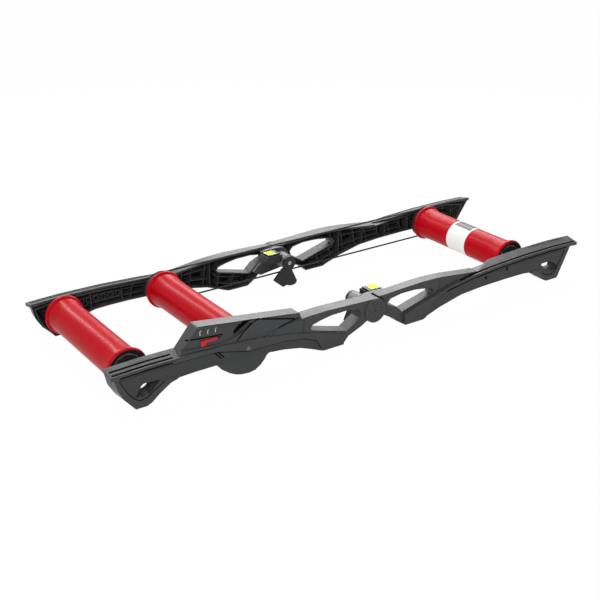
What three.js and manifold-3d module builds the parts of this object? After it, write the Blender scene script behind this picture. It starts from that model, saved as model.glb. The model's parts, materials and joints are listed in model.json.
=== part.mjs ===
// Folding bicycle rollers: three waisted drums carried between two moulded side frames.
// The frame is hinged halfway; a round belt drives the front drum from the middle one, and a
// magnetic brake with a three-position slider sits at the near end of the middle drum.
// Millimetres; X runs to the front, Y to the far side, Z up from the floor below the hinge.
import * as THREE from 'three';
import { mergeVertices } from 'three/addons/utils/BufferGeometryUtils.js';
import Module from 'manifold-3d';

const wasm = await Module();
wasm.setup();

// Frame
const halfLength = 713;
const halfWidth = 240;
const flangeHeight = 100;
const frameDepth = 38;
const wall = 3;
const flangeThickness = 5;
const flangeEndThickness = 9;
const flangeDrop = 8;
const gripCorner = 6;
const nosedStrandInset = 3;
const pocketStrandInset = 8;

// Clearances
const gap = 0.3;
const overrun = 2;

// Hinge
const hingeHeightShare = 0.67;
const noseRadius = 32;
const pocketGap = 3.5;
const sleeveRadius = 20;
const sleeveLength = 54;
const lugRadius = 30;
const lugThickness = 12;
const pinRadius = 5;
const pinBore = 2.5;
const discRadius = 23;
const discThickness = 3;

// Centre foot below the hinge
const footHubThickness = 9;
const footHubRadius = 19.5;

// Hinge lock
const lockNear = 17;
const lockFar = 63;
const lockSetback = 2;
const lockTopShare = 0.92;
const lockHeight = 20;
const lockWall = 4;
const lockSeatGap = 1;
const buttonTravel = 4;
const buttonRise = 4;

// Drums
const rearDrumShare = 0.9;
const middleDrumShare = 0.5175;
const frontDrumShare = 0.7265;
const axleHeightShare = 0.68;
const drumSetback = 63.5;
const rimRadius = 50;
const rimWidth = 9;
const rimRise = 1.5;
const rimChamfer = 1;
const flareRadius = 46;
const flareLength = 45;
const drumRadius = 42.5;
const shellWall = 3.5;

// Axles, bearings and end caps
const axleRadius = 4;
const bearingRadius = 11;
const bearingWidth = 7;
const bearingShoulder = 3;
const capRecess = 2.5;
const capHubRadius = 16;
const capHubLength = 12;
const axleBossRadius = 11;
const axleSeat = 6;
const nutRadius = 8;
const nutThickness = 6;
const screwHeadRadius = 5.5;
const screwHeadHeight = 3;
const screwRadius = 2.5;
const screwLength = 16;

// Belt and its pulleys
const beltRadius = 2.25;
const beltPitchRadius = 42;
const beltReach = 8.5;
const pulleyLip = 3;
const pulleyHalfWidth = 5.5;

// Magnetic brake. Its thicknesses are shares of frameDepth.
const rotorLift = 13;
const rotorThicknessShare = 0.105;
const rotorHubRadius = 13;
const magnetGap = 0.5;
const swingGapShare = 0.071;
const carrierInset = 3;
const carrierThicknessShare = 0.08;
const magnetThicknessShare = 0.08;
const magnetBand = 15;
const postInset = 7;
const postRadius = 2;
const postLengthShare = 0.105;
const linkThicknessShare = 0.08;
const linkWidth = 5;
const innerCoverThicknessShare = 0.066;
const coverOutset = 5;

// Brake hood, its panel and the slider. The first three shares are of frameDepth.
const hoodInsetShare = 0.105;
const panelRecessShare = 0.105;
const panelBackingShare = 0.158;
const hoodWall = 3;
const sliderLength = 42;
const sliderHeightShare = 0.07;
const sliderLegWidth = 14;
const sliderLegDropShare = 0.07;
const slotMargin = 1.5;
const sliderProud = 3;
const sliderStartShare = 0.687;
const sliderTopShare = 1.17;
const sliderTravel = 40;

// Rubber feet
const padHeight = 2.7;
const padReveal = 1.5;
const padMargin = 5;

// Ribs inside the side frames, and the small slots in the front ones
const ribThickness = 2;
const ribPitchShare = 0.12;
const ribStartShare = 0.30;
const ribEndShare = 0.95;
const slotWidth = 5;

// Places that follow from the sizes above
const hingeHeight = hingeHeightShare * flangeHeight;
const axleHeight = axleHeightShare * flangeHeight;
const rearDrumReach = rearDrumShare * halfLength;
const middleDrumReach = middleDrumShare * halfLength;
const frontDrumReach = frontDrumShare * halfLength;
const innerFace = halfWidth - frameDepth;
const sleeveEnd = innerFace - sleeveLength;
const lockInner = sleeveEnd + lockSetback;
const lockTop = lockTopShare * flangeHeight;
const drumHalfLength = halfWidth - drumSetback;
const beltPlace = drumHalfLength + beltReach;
const rotorThickness = rotorThicknessShare * frameDepth;
const carrierThickness = carrierThicknessShare * frameDepth;
const magnetThickness = magnetThicknessShare * frameDepth;
const innerCoverThickness = innerCoverThicknessShare * frameDepth;
const swingGap = swingGapShare * frameDepth;
const postLength = postLengthShare * frameDepth;
const linkThickness = linkThicknessShare * frameDepth;
const hoodInset = hoodInsetShare * frameDepth;
const panelRecess = panelRecessShare * frameDepth;
const panelBacking = panelBackingShare * frameDepth;
const rotorRadius = axleHeight - rotorLift;
const brakeRadius = rotorRadius + wall;
const rotorPlace = innerFace + innerCoverThickness + magnetThickness + magnetGap + rotorThickness / 2;
const carrierRadius = rotorRadius - carrierInset;
const carrierPlace = rotorPlace + rotorThickness / 2 + swingGap + magnetThickness + gap;
const postReach = carrierRadius - postInset;
const sliderStart = -sliderStartShare * halfLength;
const sliderTop = sliderTopShare * flangeHeight;
const sliderHeight = sliderHeightShare * flangeHeight;
const sliderLegDrop = sliderLegDropShare * flangeHeight;

// Facets
const roundSteps = 20;
const middleSteps = 16;
const smallSteps = 10;
const noseSteps = 12;
const pocketSteps = 6;
const cornerSteps = 2;
const cornerShare = 0.45;
const beltSides = 6;
const nutSides = 6;

// Outlines. Each pair is a share of halfLength and a share of flangeHeight.
const rearUnderShares = [
  [0.240, 0.06], [0.266, 0.14], [0.315, 0.27], [0.379, 0.36], [0.463, 0.42], [0.561, 0.46],
  [0.634, 0.48], [0.714, 0.48], [0.770, 0.465], [0.800, 0.41], [0.842, 0.22], [0.868, 0.07],
];
const frontUnderShares = [
  [0.230, 0.05], [0.297, 0.21], [0.345, 0.29], [0.401, 0.38], [0.506, 0.43], [0.628, 0.445],
  [0.715, 0.44], [0.755, 0.41], [0.806, 0.18], [0.829, 0.07],
];
const rearEndShares = [[0.961, 0.33], [0.979, 0.57], [0.990, 0.86]];
const frontEndShares = [[0.905, 0.04], [0.926, 0.34], [0.954, 0.74], [0.962, 0.86]];
const middleFootShares = [0.136, 0.220];
const rearEndFootShares = [0.886, 0.924];
const frontEndFootShares = [0.846, 0.899];
const ridgeShares = [
  [0.133, 0.30], [0.195, 0.44], [0.244, 0.54], [0.344, 0.71], [0.463, 0.84], [0.572, 0.90],
  [0.721, 0.95], [0.875, 0.96], [1.000, 0.93],
];
const ridgeMeetShare = 0.463;
const ridgeStartShare = 0.40;
const ridgeMeetInsideShare = 0.49;
const flangeTipShare = 0.93;
const upperTopShares = [
  [0, 0.98], [0.067, 1.00], [0.133, 1.02], [0.210, 1.04], [0.281, 1.03], [0.337, 1.00],
  [0.407, 0.94], [0.484, 0.88],
];
const openingTopShares = [
  [0.123, 0.885], [0.185, 0.88], [0.231, 0.83], [0.264, 0.77], [0.272, 0.69], [0.265, 0.63],
];
const noseOpeningShares = [[0.136, 0.37], [0.121, 0.34]];
const pocketOpeningShares = [[0.128, 0.38]];
const rearGripShares = [[0.924, 0.27], [0.868, 0.29], [0.833, 0.56], [0.897, 0.58]];
const frontGripShares = [
  [0.808, 0.57], [0.856, 0.58], [0.902, 0.40], [0.899, 0.27], [0.856, 0.30], [0.827, 0.43],
];
const hoodShares = [[0.298, 0.85], [0.775, 0.90], [0.697, 1.55], [0.316, 1.19]];
const panelShares = [[0.757, 1.06], [0.695, 1.48], [0.492, 1.28], [0.592, 0.97]];
const frontSlotShares = [[0.520, 0.66, 0.05], [0.627, 0.75, 0.10]];

// Outlines at the hinge. Each pair is a share of noseRadius and a share of flangeHeight.
const noseUnderShares = [[0.969, 0.41], [1.219, 0.36], [2.531, 0.19]];
const pocketUnderShares = [[1.938, 0.27], [2.375, 0.15]];
const openingStartShares = [[1.337, 0.72], [1.649, 0.83]];
const noseOpeningEndShares = [[1.471, 0.58]];
const pocketOpeningEndShares = [[2.228, 0.57], [1.404, 0.68]];
const lugShares = [
  [1.248, 0.97], [1.872, 0.95], [1.627, 0.86], [1.337, 0.72], [2.117, 0.57], [2.652, 0.42], [1.938, 0.29],
];

// The centre foot. The toes are shares of hingeHeight; where they meet the hub, its centre and radius.
const toeShares = [[0.75, 0.37], [0.31, 0], [0.19, 0.08], [0, 0], [-0.25, 0], [-0.37, 0.13]];
const footTopShares = [[-0.309, -0.9], [1.065, -0.6]];

// The bottom of the brake cover. Each pair is a share of the brake housing's radius, rearwards and
// up from the middle drum's axle.
const coverShares = [
  [1.337, -0.446], [1.185, -0.645], [0.863, -0.882], [0.569, -1.034], [0.313, -1.105], [-0.066, -1.138],
  [-0.332, -1.095], [-0.588, -0.939], [-0.787, -0.740], [-0.906, -0.569], [-1.024, -0.503],
];
const pocketTopAngle = 64;
const pocketBottomAngle = -36;
const noseNotchAngle = 44;

// Materials
const framePlastic = new THREE.MeshStandardMaterial({ color: 0x2b2c2e, roughness: 0.5, metalness: 0 });
const drumPaint = new THREE.MeshStandardMaterial({ color: 0xc40e1e, roughness: 0.22, metalness: 0 });
const capPlastic = new THREE.MeshStandardMaterial({ color: 0x232426, roughness: 0.45, metalness: 0 });
const steel = new THREE.MeshStandardMaterial({ color: 0xb9bbbe, roughness: 0.35, metalness: 1 });
const alloy = new THREE.MeshStandardMaterial({ color: 0xc7c9cc, roughness: 0.4, metalness: 1 });
const rubber = new THREE.MeshStandardMaterial({ color: 0x141414, roughness: 0.85, metalness: 0 });
const redPlastic = new THREE.MeshStandardMaterial({ color: 0xc61a22, roughness: 0.4, metalness: 0 });
const magnetCoat = new THREE.MeshStandardMaterial({ color: 0x8d9094, roughness: 0.35, metalness: 1 });

// Solids
function outward(geometry) {
  geometry.deleteAttribute('normal');
  geometry.deleteAttribute('uv');
  const merged = mergeVertices(geometry, 1e-4);
  const place = merged.getAttribute('position');
  const source = merged.getIndex().array;
  const corner = (i) => new THREE.Vector3().fromBufferAttribute(place, i);
  const kept = [];
  let volume = 0;
  for (let i = 0; i < source.length; i += 3) {
    const [a, b, c] = [source[i], source[i + 1], source[i + 2]];
    if (a !== b && b !== c && c !== a) {
      kept.push(a, b, c);
      volume += corner(a).dot(corner(b).cross(corner(c)));
    }
  }
  if (volume < 0) {
    for (let i = 0; i < kept.length; i += 3) {
      [kept[i], kept[i + 1]] = [kept[i + 1], kept[i]];
    }
  }
  merged.setIndex(kept);
  return merged;
}

function solid(geometry) {
  const shell = outward(geometry);
  return new wasm.Manifold(new wasm.Mesh({
    numProp: 3,
    vertProperties: new Float32Array(shell.getAttribute('position').array),
    triVerts: new Uint32Array(shell.getIndex().array),
  }));
}

function geometryOf(body) {
  const mesh = body.getMesh();
  const geometry = new THREE.BufferGeometry();
  geometry.setAttribute('position', new THREE.BufferAttribute(new Float32Array(mesh.vertProperties), 3));
  geometry.setIndex(Array.from(mesh.triVerts));
  return geometry;
}

function joined(bodies) {
  return bodies.reduce((sum, body) => sum.add(body));
}

function cutBy(body, tools) {
  return tools.reduce((rest, tool) => rest.subtract(tool), body);
}

// A revolved piece about a line along Y through (x, z); the profile is [radius, y] pairs.
function turned(profile, x, z, steps) {
  const points = profile.map(([radius, y]) => new THREE.Vector2(radius, y));
  const geometry = new THREE.LatheGeometry(points, steps);
  geometry.translate(x, 0, z);
  return outward(geometry);
}

function ring(outer, inner, from, to, x, z, steps) {
  return turned([[inner, from], [outer, from], [outer, to], [inner, to], [inner, from]], x, z, steps);
}

function rod(radius, from, to, x, z, steps) {
  return turned([[0, from], [radius, from], [radius, to], [0, to]], x, z, steps);
}

// A flat outline in X and Z, thick along Y.
function slab(outline, from, to) {
  const shape = new THREE.Shape(outline.map(([x, z]) => new THREE.Vector2(x, z)));
  const geometry = new THREE.ExtrudeGeometry(shape, { depth: to - from, bevelEnabled: false, steps: 1 });
  geometry.translate(0, 0, from);
  const swap = new THREE.Matrix4().set(1, 0, 0, 0, 0, 0, 1, 0, 0, 1, 0, 0, 0, 0, 0, 1);
  geometry.applyMatrix4(swap);
  return outward(geometry);
}

function box(x0, x1, y0, y1, z0, z1) {
  return slab([[x0, z0], [x1, z0], [x1, z1], [x0, z1]], y0, y1);
}

// A loft through sections of equal point count, closed by its first and last section.
function loft(sections) {
  const count = sections[0].length;
  const places = sections.flat().flat();
  const faces = [];
  for (let i = 0; i + 1 < sections.length; i += 1) {
    for (let j = 0; j < count; j += 1) {
      const a = i * count + j;
      const b = i * count + (j + 1) % count;
      faces.push(a, b, b + count, a, b + count, a + count);
    }
  }
  const last = (sections.length - 1) * count;
  for (let j = 1; j + 1 < count; j += 1) {
    faces.push(0, j + 1, j);
    faces.push(last, last + j, last + j + 1);
  }
  const geometry = new THREE.BufferGeometry();
  geometry.setAttribute('position', new THREE.Float32BufferAttribute(places, 3));
  geometry.setIndex(faces);
  return outward(geometry);
}

// Outline helpers
function sized(shares) {
  return shares.map(([along, up]) => [along * halfLength, Math.max(up * flangeHeight, padReveal)]);
}

function hinged(shares) {
  return shares.map(([along, up]) => [along * noseRadius, up * flangeHeight]);
}

function arc(cx, cz, radius, fromDegrees, toDegrees, steps) {
  return Array.from({ length: steps + 1 }, (_, i) => {
    const angle = THREE.MathUtils.degToRad(fromDegrees + (toDegrees - fromDegrees) * i / steps);
    return [cx + radius * Math.cos(angle), cz + radius * Math.sin(angle)];
  });
}

function rounded(points, radius, steps = cornerSteps) {
  const out = [];
  points.forEach((here, i) => {
    const before = points[(i + points.length - 1) % points.length];
    const after = points[(i + 1) % points.length];
    const corner = new THREE.Vector2(...here);
    const back = new THREE.Vector2(...before).sub(corner);
    const on = new THREE.Vector2(...after).sub(corner);
    const reach = Math.min(radius, back.length() * cornerShare, on.length() * cornerShare);
    const start = corner.clone().addScaledVector(back.normalize(), reach);
    const end = corner.clone().addScaledVector(on.normalize(), reach);
    const bend = new THREE.QuadraticBezierCurve(start, corner, end);
    out.push(...bend.getPoints(steps).map((p) => [p.x, p.y]));
  });
  return out;
}

function clearance([x, z], points) {
  const spot = new THREE.Vector3(x, z, 0);
  const line = new THREE.Line3();
  const near = new THREE.Vector3();
  return Math.min(...points.map((here, i) => {
    line.set(new THREE.Vector3(...here, 0), new THREE.Vector3(...points[(i + 1) % points.length], 0));
    return line.closestPointToPoint(spot, true, near).distanceTo(spot);
  }));
}

const keptShare = 0.97;
const sharpestShare = 0.2;

// Moves each corner of a closed outline sideways by a distance, inwards where it is positive, and
// leaves out the corners that would come too near another edge.
function inset(points, distance) {
  const turn = THREE.ShapeUtils.area(points.map(([x, z]) => new THREE.Vector2(x, z))) > 0 ? 1 : -1;
  const moved = points.map((here, i) => {
    const before = points[(i + points.length - 1) % points.length];
    const after = points[(i + 1) % points.length];
    const one = new THREE.Vector2(here[0] - before[0], here[1] - before[1]).normalize();
    const two = new THREE.Vector2(after[0] - here[0], after[1] - here[1]).normalize();
    const normal = new THREE.Vector2(-(one.y + two.y), one.x + two.x).normalize();
    const lean = Math.max(normal.dot(new THREE.Vector2(-one.y, one.x)), sharpestShare);
    return [here[0] + turn * normal.x * distance / lean, here[1] + turn * normal.y * distance / lean];
  });
  return moved.filter((place) => clearance(place, points) > Math.abs(distance) * keptShare);
}

function heightAt(shares, along) {
  const points = sized(shares);
  if (along <= points[0][0]) {
    return points[0][1];
  }
  const next = points.findIndex(([x]) => x >= along);
  if (next < 0) {
    return points[points.length - 1][1];
  }
  const [x0, z0] = points[next - 1];
  const [x1, z1] = points[next];
  return z0 + (z1 - z0) * (along - x0) / (x1 - x0);
}

// The four side frames differ in two ways: which half they carry, and whether their hinge end is
// the round nose or the pocket that turns about it. The near rear and far front ones are nosed.
const halves = {
  rear: {
    forward: -1,
    under: rearUnderShares,
    end: rearEndShares,
    endFoot: rearEndFootShares,
    grip: rearGripShares,
    drums: [rearDrumReach, middleDrumReach],
  },
  front: {
    forward: 1,
    under: frontUnderShares,
    end: frontEndShares,
    endFoot: frontEndFootShares,
    grip: frontGripShares,
    drums: [frontDrumReach],
  },
};

// Frames are modelled with X outwards from the hinge and Y inwards from the outer face.
function intoPlace(body, half, side) {
  const geometry = geometryOf(body);
  const mirror = new THREE.Matrix4().makeScale(halves[half].forward, -side, 1);
  geometry.applyMatrix4(mirror);
  geometry.translate(0, side * halfWidth, 0);
  return outward(geometry);
}

function hingeEnd(nosed) {
  if (nosed) {
    return {
      top: arc(0, hingeHeight, noseRadius, 90, 360 - noseNotchAngle, noseSteps),
      under: hinged(noseUnderShares),
    };
  }
  return {
    top: arc(0, hingeHeight, noseRadius + pocketGap, pocketTopAngle, pocketBottomAngle, pocketSteps),
    under: hinged(pocketUnderShares),
  };
}

function mainOutline(half, nosed) {
  const { under, end, endFoot } = halves[half];
  const hinge = hingeEnd(nosed);
  const sink = flangeThickness / 2;
  const startAlong = nosed ? 0 : hinge.top[0][0];
  const middleFoot = middleFootShares.map((share) => [share * halfLength, padReveal]);
  const outerFoot = endFoot.map((share) => [share * halfLength, padReveal]);
  const underside = [...hinge.under, ...middleFoot, ...sized(under), ...outerFoot, ...sized(end)];
  const meet = ridgeMeetShare * halfLength;
  const tip = end[end.length - 1][0] * halfLength;
  const ridgeTop = sized(ridgeShares)
    .filter(([along]) => along >= meet && along < tip)
    .map(([along, z]) => [along, z - sink]);
  const strandTop = sized(upperTopShares)
    .filter(([along]) => along > startAlong + wall && along < meet)
    .map(([along, z]) => [along, z - sink]);
  return [...hinge.top, ...underside, ...ridgeTop.reverse(), ...strandTop.reverse()];
}

function lowerOutline(half) {
  const { under, end, endFoot } = halves[half];
  const middleFoot = middleFootShares.map((share) => [share * halfLength, padReveal]);
  const outerFoot = endFoot.map((share) => [share * halfLength, padReveal]);
  const tip = end[end.length - 1][0] * halfLength;
  const ridge = sized(ridgeShares).filter(([along]) => along < tip);
  return [...middleFoot, ...sized(under), ...outerFoot, ...sized(end), ...ridge.reverse()];
}

// Sections of the two top flanges; a lift above them and a deep underside give the room that a
// piece sitting on them leaves free.
function ridgeFlange(lift = 0, deep = false) {
  const places = sized(ridgeShares).filter(([along]) => along > ridgeStartShare * halfLength);
  const meet = ridgeMeetInsideShare * halfLength;
  const start = places[0][0];
  return loft(places.map(([along, z]) => {
    const share = Math.min((along - start) / (meet - start), 1);
    const inner = pocketStrandInset + wall + (frameDepth - pocketStrandInset - wall) * share;
    const tip = Math.max((along - flangeTipShare * halfLength) / ((1 - flangeTipShare) * halfLength), 0);
    const under = flangeThickness + (flangeEndThickness - flangeThickness) * tip;
    const outer = deep ? -overrun : 0;
    const inside = deep && share === 1 ? inner + overrun : inner;
    const top = (y) => z + flangeDrop * share * y / inner;
    return [
      [along, outer, top(outer) + lift], [along, inside, top(inside) + lift],
      [along, inside, deep ? 0 : top(inside) - under], [along, outer, deep ? 0 : z - under],
    ];
  }));
}

function strandFlange(nosed, lift = 0, deep = false) {
  const outer = nosed ? nosedStrandInset : pocketStrandInset;
  const first = nosed ? 0 : (noseRadius + pocketGap) * Math.cos(THREE.MathUtils.degToRad(pocketTopAngle));
  const places = sized(upperTopShares).filter(([along]) => along > first + wall);
  places.unshift([first, heightAt(upperTopShares, first)]);
  return loft(places.map(([along, z]) => {
    const bottom = deep ? 0 : z - flangeThickness;
    const inside = deep ? frameDepth + overrun : frameDepth;
    return [
      [along, deep ? -overrun : outer, z + lift], [along, inside, z + lift], [along, inside, bottom],
      [along, deep ? -overrun : outer, bottom],
    ];
  }));
}

function windowOutline(nosed) {
  const [far, near] = nosed
    ? [noseOpeningShares, noseOpeningEndShares]
    : [pocketOpeningShares, pocketOpeningEndShares];
  return [...hinged(openingStartShares), ...sized(openingTopShares), ...sized(far), ...hinged(near)];
}

function ribs(outline) {
  const inside = solid(slab(inset(outline, wall / 2), wall / 2, frameDepth - wall));
  const pitch = ribPitchShare * halfLength;
  const half = ribThickness / 2;
  const bars = [];
  for (let along = ribStartShare * halfLength; along < ribEndShare * halfLength; along += pitch) {
    bars.push(solid(box(along - half, along + half, wall / 2, frameDepth - wall, 0, flangeHeight)));
  }
  return joined(bars).intersect(inside);
}

function padPlaces(half) {
  const feet = [middleFootShares, halves[half].endFoot];
  return feet.map((shares) => shares.map((share) => share * halfLength));
}

function sideFrame(half, nosed, braked) {
  const outline = mainOutline(half, nosed);
  const lower = lowerOutline(half);
  const opening = windowOutline(nosed);
  const grip = rounded(sized(halves[half].grip), gripCorner);
  const strandInset = nosed ? nosedStrandInset : pocketStrandInset;
  const holes = [opening, grip];

  const shell = joined([
    solid(slab(outline, strandInset, frameDepth)),
    solid(slab(lower, 0, frameDepth)),
  ]);
  const collars = holes.map((hole) => solid(slab(inset(hole, -wall), 0, frameDepth)));
  const hollow = joined([
    solid(slab(inset(outline, wall), strandInset + wall, frameDepth + overrun)),
    solid(slab(inset(lower, wall), wall, frameDepth + overrun)),
  ]);
  let body = cutBy(shell, [cutBy(hollow, collars)]);
  body = joined([body, ribs(outline), solid(ridgeFlange()), solid(strandFlange(nosed))]);

  if (nosed) {
    body = body.add(solid(rod(noseRadius, 0, frameDepth, 0, hingeHeight, roundSteps)));
    body = cutBy(body, [
      solid(rod(discRadius + gap, -overrun, discThickness + gap, 0, hingeHeight, roundSteps)),
      solid(rod(pinRadius + gap, -overrun, frameDepth + overrun, 0, hingeHeight, smallSteps)),
    ]);
  } else {
    const pocket = rod(noseRadius + pocketGap, -overrun, frameDepth + gap, 0, hingeHeight, roundSteps);
    body = cutBy(body, [solid(pocket)]);
    body = body.add(lug());
  }

  const carrierBack = halfWidth - carrierPlace - carrierThickness;
  const bosses = halves[half].drums.map((reach) => {
    const shortened = braked && reach === middleDrumReach;
    const end = shortened ? carrierBack : frameDepth;
    return solid(rod(axleBossRadius, wall / 2, end, reach, axleHeight, smallSteps));
  });
  body = joined([body, ...bosses]);
  body = cutBy(body, holes.map((hole) => solid(slab(hole, -overrun, frameDepth + overrun))));
  body = cutBy(body, halves[half].drums.map((reach) => solid(
    rod(axleRadius + gap, axleSeat, frameDepth + overrun, reach, axleHeight, smallSteps))));
  if (half === 'rear') {
    const stepped = [[screwHeadRadius, screwHeadHeight + gap], [screwRadius, frameDepth]];
    body = cutBy(body, stepped.map(([radius, depth]) => solid(
      rod(radius + gap, -overrun, depth, middleDrumReach, axleHeight, smallSteps))));
  } else {
    body = cutBy(body, frontSlots());
  }
  if (braked) {
    const around = [middleDrumReach, axleHeight];
    const room = rod(brakeRadius, carrierBack - wall, frameDepth + overrun, ...around, roundSteps);
    const hub = ring(axleBossRadius, axleRadius + gap, axleSeat, carrierBack - gap, ...around, smallSteps);
    body = cutBy(body, [solid(room)]).add(solid(hub));
  }
  const edge = padMargin - gap;
  const recesses = padPlaces(half).map(([from, to]) => solid(
    box(from + edge, to - edge, edge, frameDepth - edge, -overrun, padHeight + gap)));
  return cutBy(body, recesses);
}

function frontSlots() {
  return frontSlotShares.map(([along, up, tall]) => {
    const x = along * halfLength;
    const z = up * flangeHeight;
    const [across, half] = [slotWidth / 2, tall * flangeHeight / 2];
    const through = pocketStrandInset + wall + gap;
    return solid(box(x - across, x + across, -overrun, through, z - half, z + half));
  });
}

// The pocketed frame reaches the hinge by a lug that turns on the sleeve, inboard of the nose.
// Where it joins the frame, nothing of it hangs below the frame's own edge: the nose passes there.
function lug() {
  const to = frameDepth + lugThickness;
  const pocket = noseRadius + pocketGap;
  const outline = [...arc(0, hingeHeight, lugRadius, 90, 270, noseSteps), ...hinged(lugShares).reverse()];
  const edge = arc(0, hingeHeight, pocket, pocketTopAngle, pocketBottomAngle, pocketSteps).pop();
  const under = hinged(pocketUnderShares)[0];
  const below = [[-pocket, 0], [under[0], 0], under, edge, [0, hingeHeight], [-pocket, hingeHeight]];
  return cutBy(solid(slab(outline, frameDepth - wall, to)), [
    solid(rod(sleeveRadius + gap, frameDepth - overrun - wall, to + overrun, 0, hingeHeight, roundSteps)),
    solid(rod(pocket, -overrun, frameDepth + gap, 0, hingeHeight, roundSteps)),
    solid(slab(below, -overrun, frameDepth + gap)),
  ]);
}

const rollers = new THREE.Group();

function add(name, geometry, material) {
  const mesh = new THREE.Mesh(geometry, material);
  mesh.name = name;
  rollers.add(mesh);
}

const sides = { near: -1, far: 1 };

function isNosed(half, side) {
  return (half === 'rear') === (side === 'near');
}

// Side frames and their rubber pads
for (const half of Object.keys(halves)) {
  for (const [side, sign] of Object.entries(sides)) {
    const braked = half === 'rear' && side === 'near';
    const frame = sideFrame(half, isNosed(half, side), braked);
    add(`${side}_${half}_frame`, intoPlace(frame, half, sign), framePlastic);
    padPlaces(half).forEach(([from, to], i) => {
      const pad = box(from + padMargin, to - padMargin, padMargin, frameDepth - padMargin, 0, padHeight);
      add(`${side}_${half}_pad_${i + 1}`, intoPlace(solid(pad), half, sign), rubber);
    });
  }
}

// Hinge pieces on each side
for (const [side, sign] of Object.entries(sides)) {
  const between = (radius, inner, from, to, steps) => ring(
    radius, inner, sign * from, sign * to, 0, hingeHeight, steps);
  const footFace = sleeveEnd - gap;
  const disc = halfWidth - discThickness;
  const pin = between(pinRadius, pinBore, footFace - footHubThickness, disc - gap, smallSteps);
  const sleeve = between(sleeveRadius, pinRadius + gap, sleeveEnd, innerFace - gap, middleSteps);
  add(`${side}_hinge_pin`, pin, steel);
  add(`${side}_hinge_disc`, between(discRadius, pinBore, disc, halfWidth, middleSteps), capPlastic);
  add(`${side}_hinge_sleeve`, sleeve, alloy);
  add(`${side}_hinge_foot`, hingeFoot(sign, footFace), capPlastic);
  const lock = lockPieces(sign, side === 'near' ? 1 : -1);
  add(`${side}_lock_housing`, lock.housing, capPlastic);
  add(`${side}_lock_button`, lock.button, capPlastic);
}

function hingeFoot(sign, face) {
  const back = face - footHubThickness;
  const bored = [sign * (back - overrun), sign * (face + overrun)];
  const [from, to] = [sign * back, sign * face];
  const outline = [
    ...toeShares.map(([x, z]) => [-sign * x * hingeHeight, z * hingeHeight]),
    ...footTopShares.map(([x, z]) => [-sign * x * footHubRadius, hingeHeight + z * footHubRadius]),
  ];
  const toes = solid(slab(rounded(outline, wall, 1), Math.min(from, to), Math.max(from, to)));
  const hub = solid(rod(footHubRadius, from, to, 0, hingeHeight, middleSteps));
  const bore = solid(rod(pinRadius + gap, ...bored, 0, hingeHeight, smallSteps));
  return geometryOf(cutBy(joined([hub, toes]), [bore]));
}

function lockPieces(sign, forward) {
  const outer = innerFace - lugThickness - gap;
  const block = (x0, x1, y0, y1, z0, z1) => solid(
    box(forward * x0, forward * x1, sign * y0, sign * y1, z0, z1));
  const floor = lockTop - lockHeight;
  const casing = block(lockNear, lockFar, lockInner, outer, floor, lockTop);
  const room = block(lockNear + lockWall, lockFar - lockWall, lockInner + lockWall, outer - lockWall,
    floor + lockWall, lockTop + overrun);
  const [from, to] = [sign * (lockInner - overrun), sign * (outer + overrun)];
  const sleeveRoom = rod(sleeveRadius + lockSeatGap, from, to, 0, hingeHeight, roundSteps);
  const inner = lockWall + gap;
  const button = block(lockNear + inner, lockFar - inner, lockInner + inner, outer - inner,
    floor + lockWall + buttonTravel + gap, lockTop + buttonRise);
  return { housing: geometryOf(cutBy(casing, [room, solid(sleeveRoom)])), button: geometryOf(button) };
}

// Drums
function drumShell(x) {
  const shoulder = drumHalfLength - rimWidth;
  const seat = shoulder + rimRise;
  const waist = shoulder - flareLength;
  const outerSide = (sign) => [
    [rimRadius - rimChamfer, sign * drumHalfLength],
    [rimRadius, sign * (drumHalfLength - rimChamfer)],
    [rimRadius, sign * seat],
    [flareRadius, sign * shoulder],
    [drumRadius, sign * waist],
  ];
  const innerSide = (sign) => [
    [drumRadius - shellWall, sign * seat],
    [rimRadius - shellWall, sign * seat],
    [rimRadius - shellWall, sign * drumHalfLength],
  ];
  const profile = [
    ...outerSide(-1), ...outerSide(1).reverse(), ...innerSide(1).reverse(), ...innerSide(-1),
  ];
  return turned([...profile, profile[0]], x, axleHeight, roundSteps);
}

// An end cap sits inside the rim; its hub holds the bearing, and a belted one carries the pulley.
function endCap(x, sign, belted) {
  const back = drumHalfLength - rimWidth + rimRise + gap;
  const face = drumHalfLength - capRecess;
  const hubBack = face - capHubLength;
  const seat = bearingRadius + gap;
  const edge = rimRadius - shellWall - gap;
  const shoulder = axleRadius + bearingShoulder;
  const seatBack = face - bearingWidth - gap;
  const profile = [
    [shoulder, hubBack], [capHubRadius, hubBack], [capHubRadius, back], [edge, back], [edge, face],
  ];
  if (belted) {
    const lip = beltPitchRadius + pulleyLip;
    const root = beltPitchRadius - beltRadius - 2 * gap;
    const half = beltRadius + gap;
    const [start, end] = [beltPlace - pulleyHalfWidth, beltPlace + pulleyHalfWidth];
    profile.push([root - pulleyLip, face], [root - pulleyLip, start], [lip, start]);
    profile.push([root, beltPlace - half], [root, beltPlace + half]);
    profile.push([lip, end], [capHubRadius, end], [capHubRadius, face]);
  }
  profile.push([seat, face], [seat, seatBack], [shoulder, seatBack], [shoulder, hubBack]);
  return turned(profile.map(([r, y]) => [r, sign * y]), x, axleHeight, roundSteps);
}

function bearing(x, sign) {
  const face = drumHalfLength - capRecess;
  const back = face - bearingWidth;
  return ring(bearingRadius, axleRadius + gap, sign * back, sign * face, x, axleHeight, smallSteps);
}

function axle(x, screwed) {
  const end = halfWidth - axleSeat - gap;
  const blind = end - screwLength;
  const bore = screwRadius + gap;
  const side = (sign) => (screwed
    ? [[bore, sign * end], [bore, sign * blind], [0, sign * blind]]
    : [[0, sign * end]]);
  const profile = [...side(-1).reverse(), [axleRadius, -end], [axleRadius, end], ...side(1)];
  return turned(profile, x, axleHeight, smallSteps);
}

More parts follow.
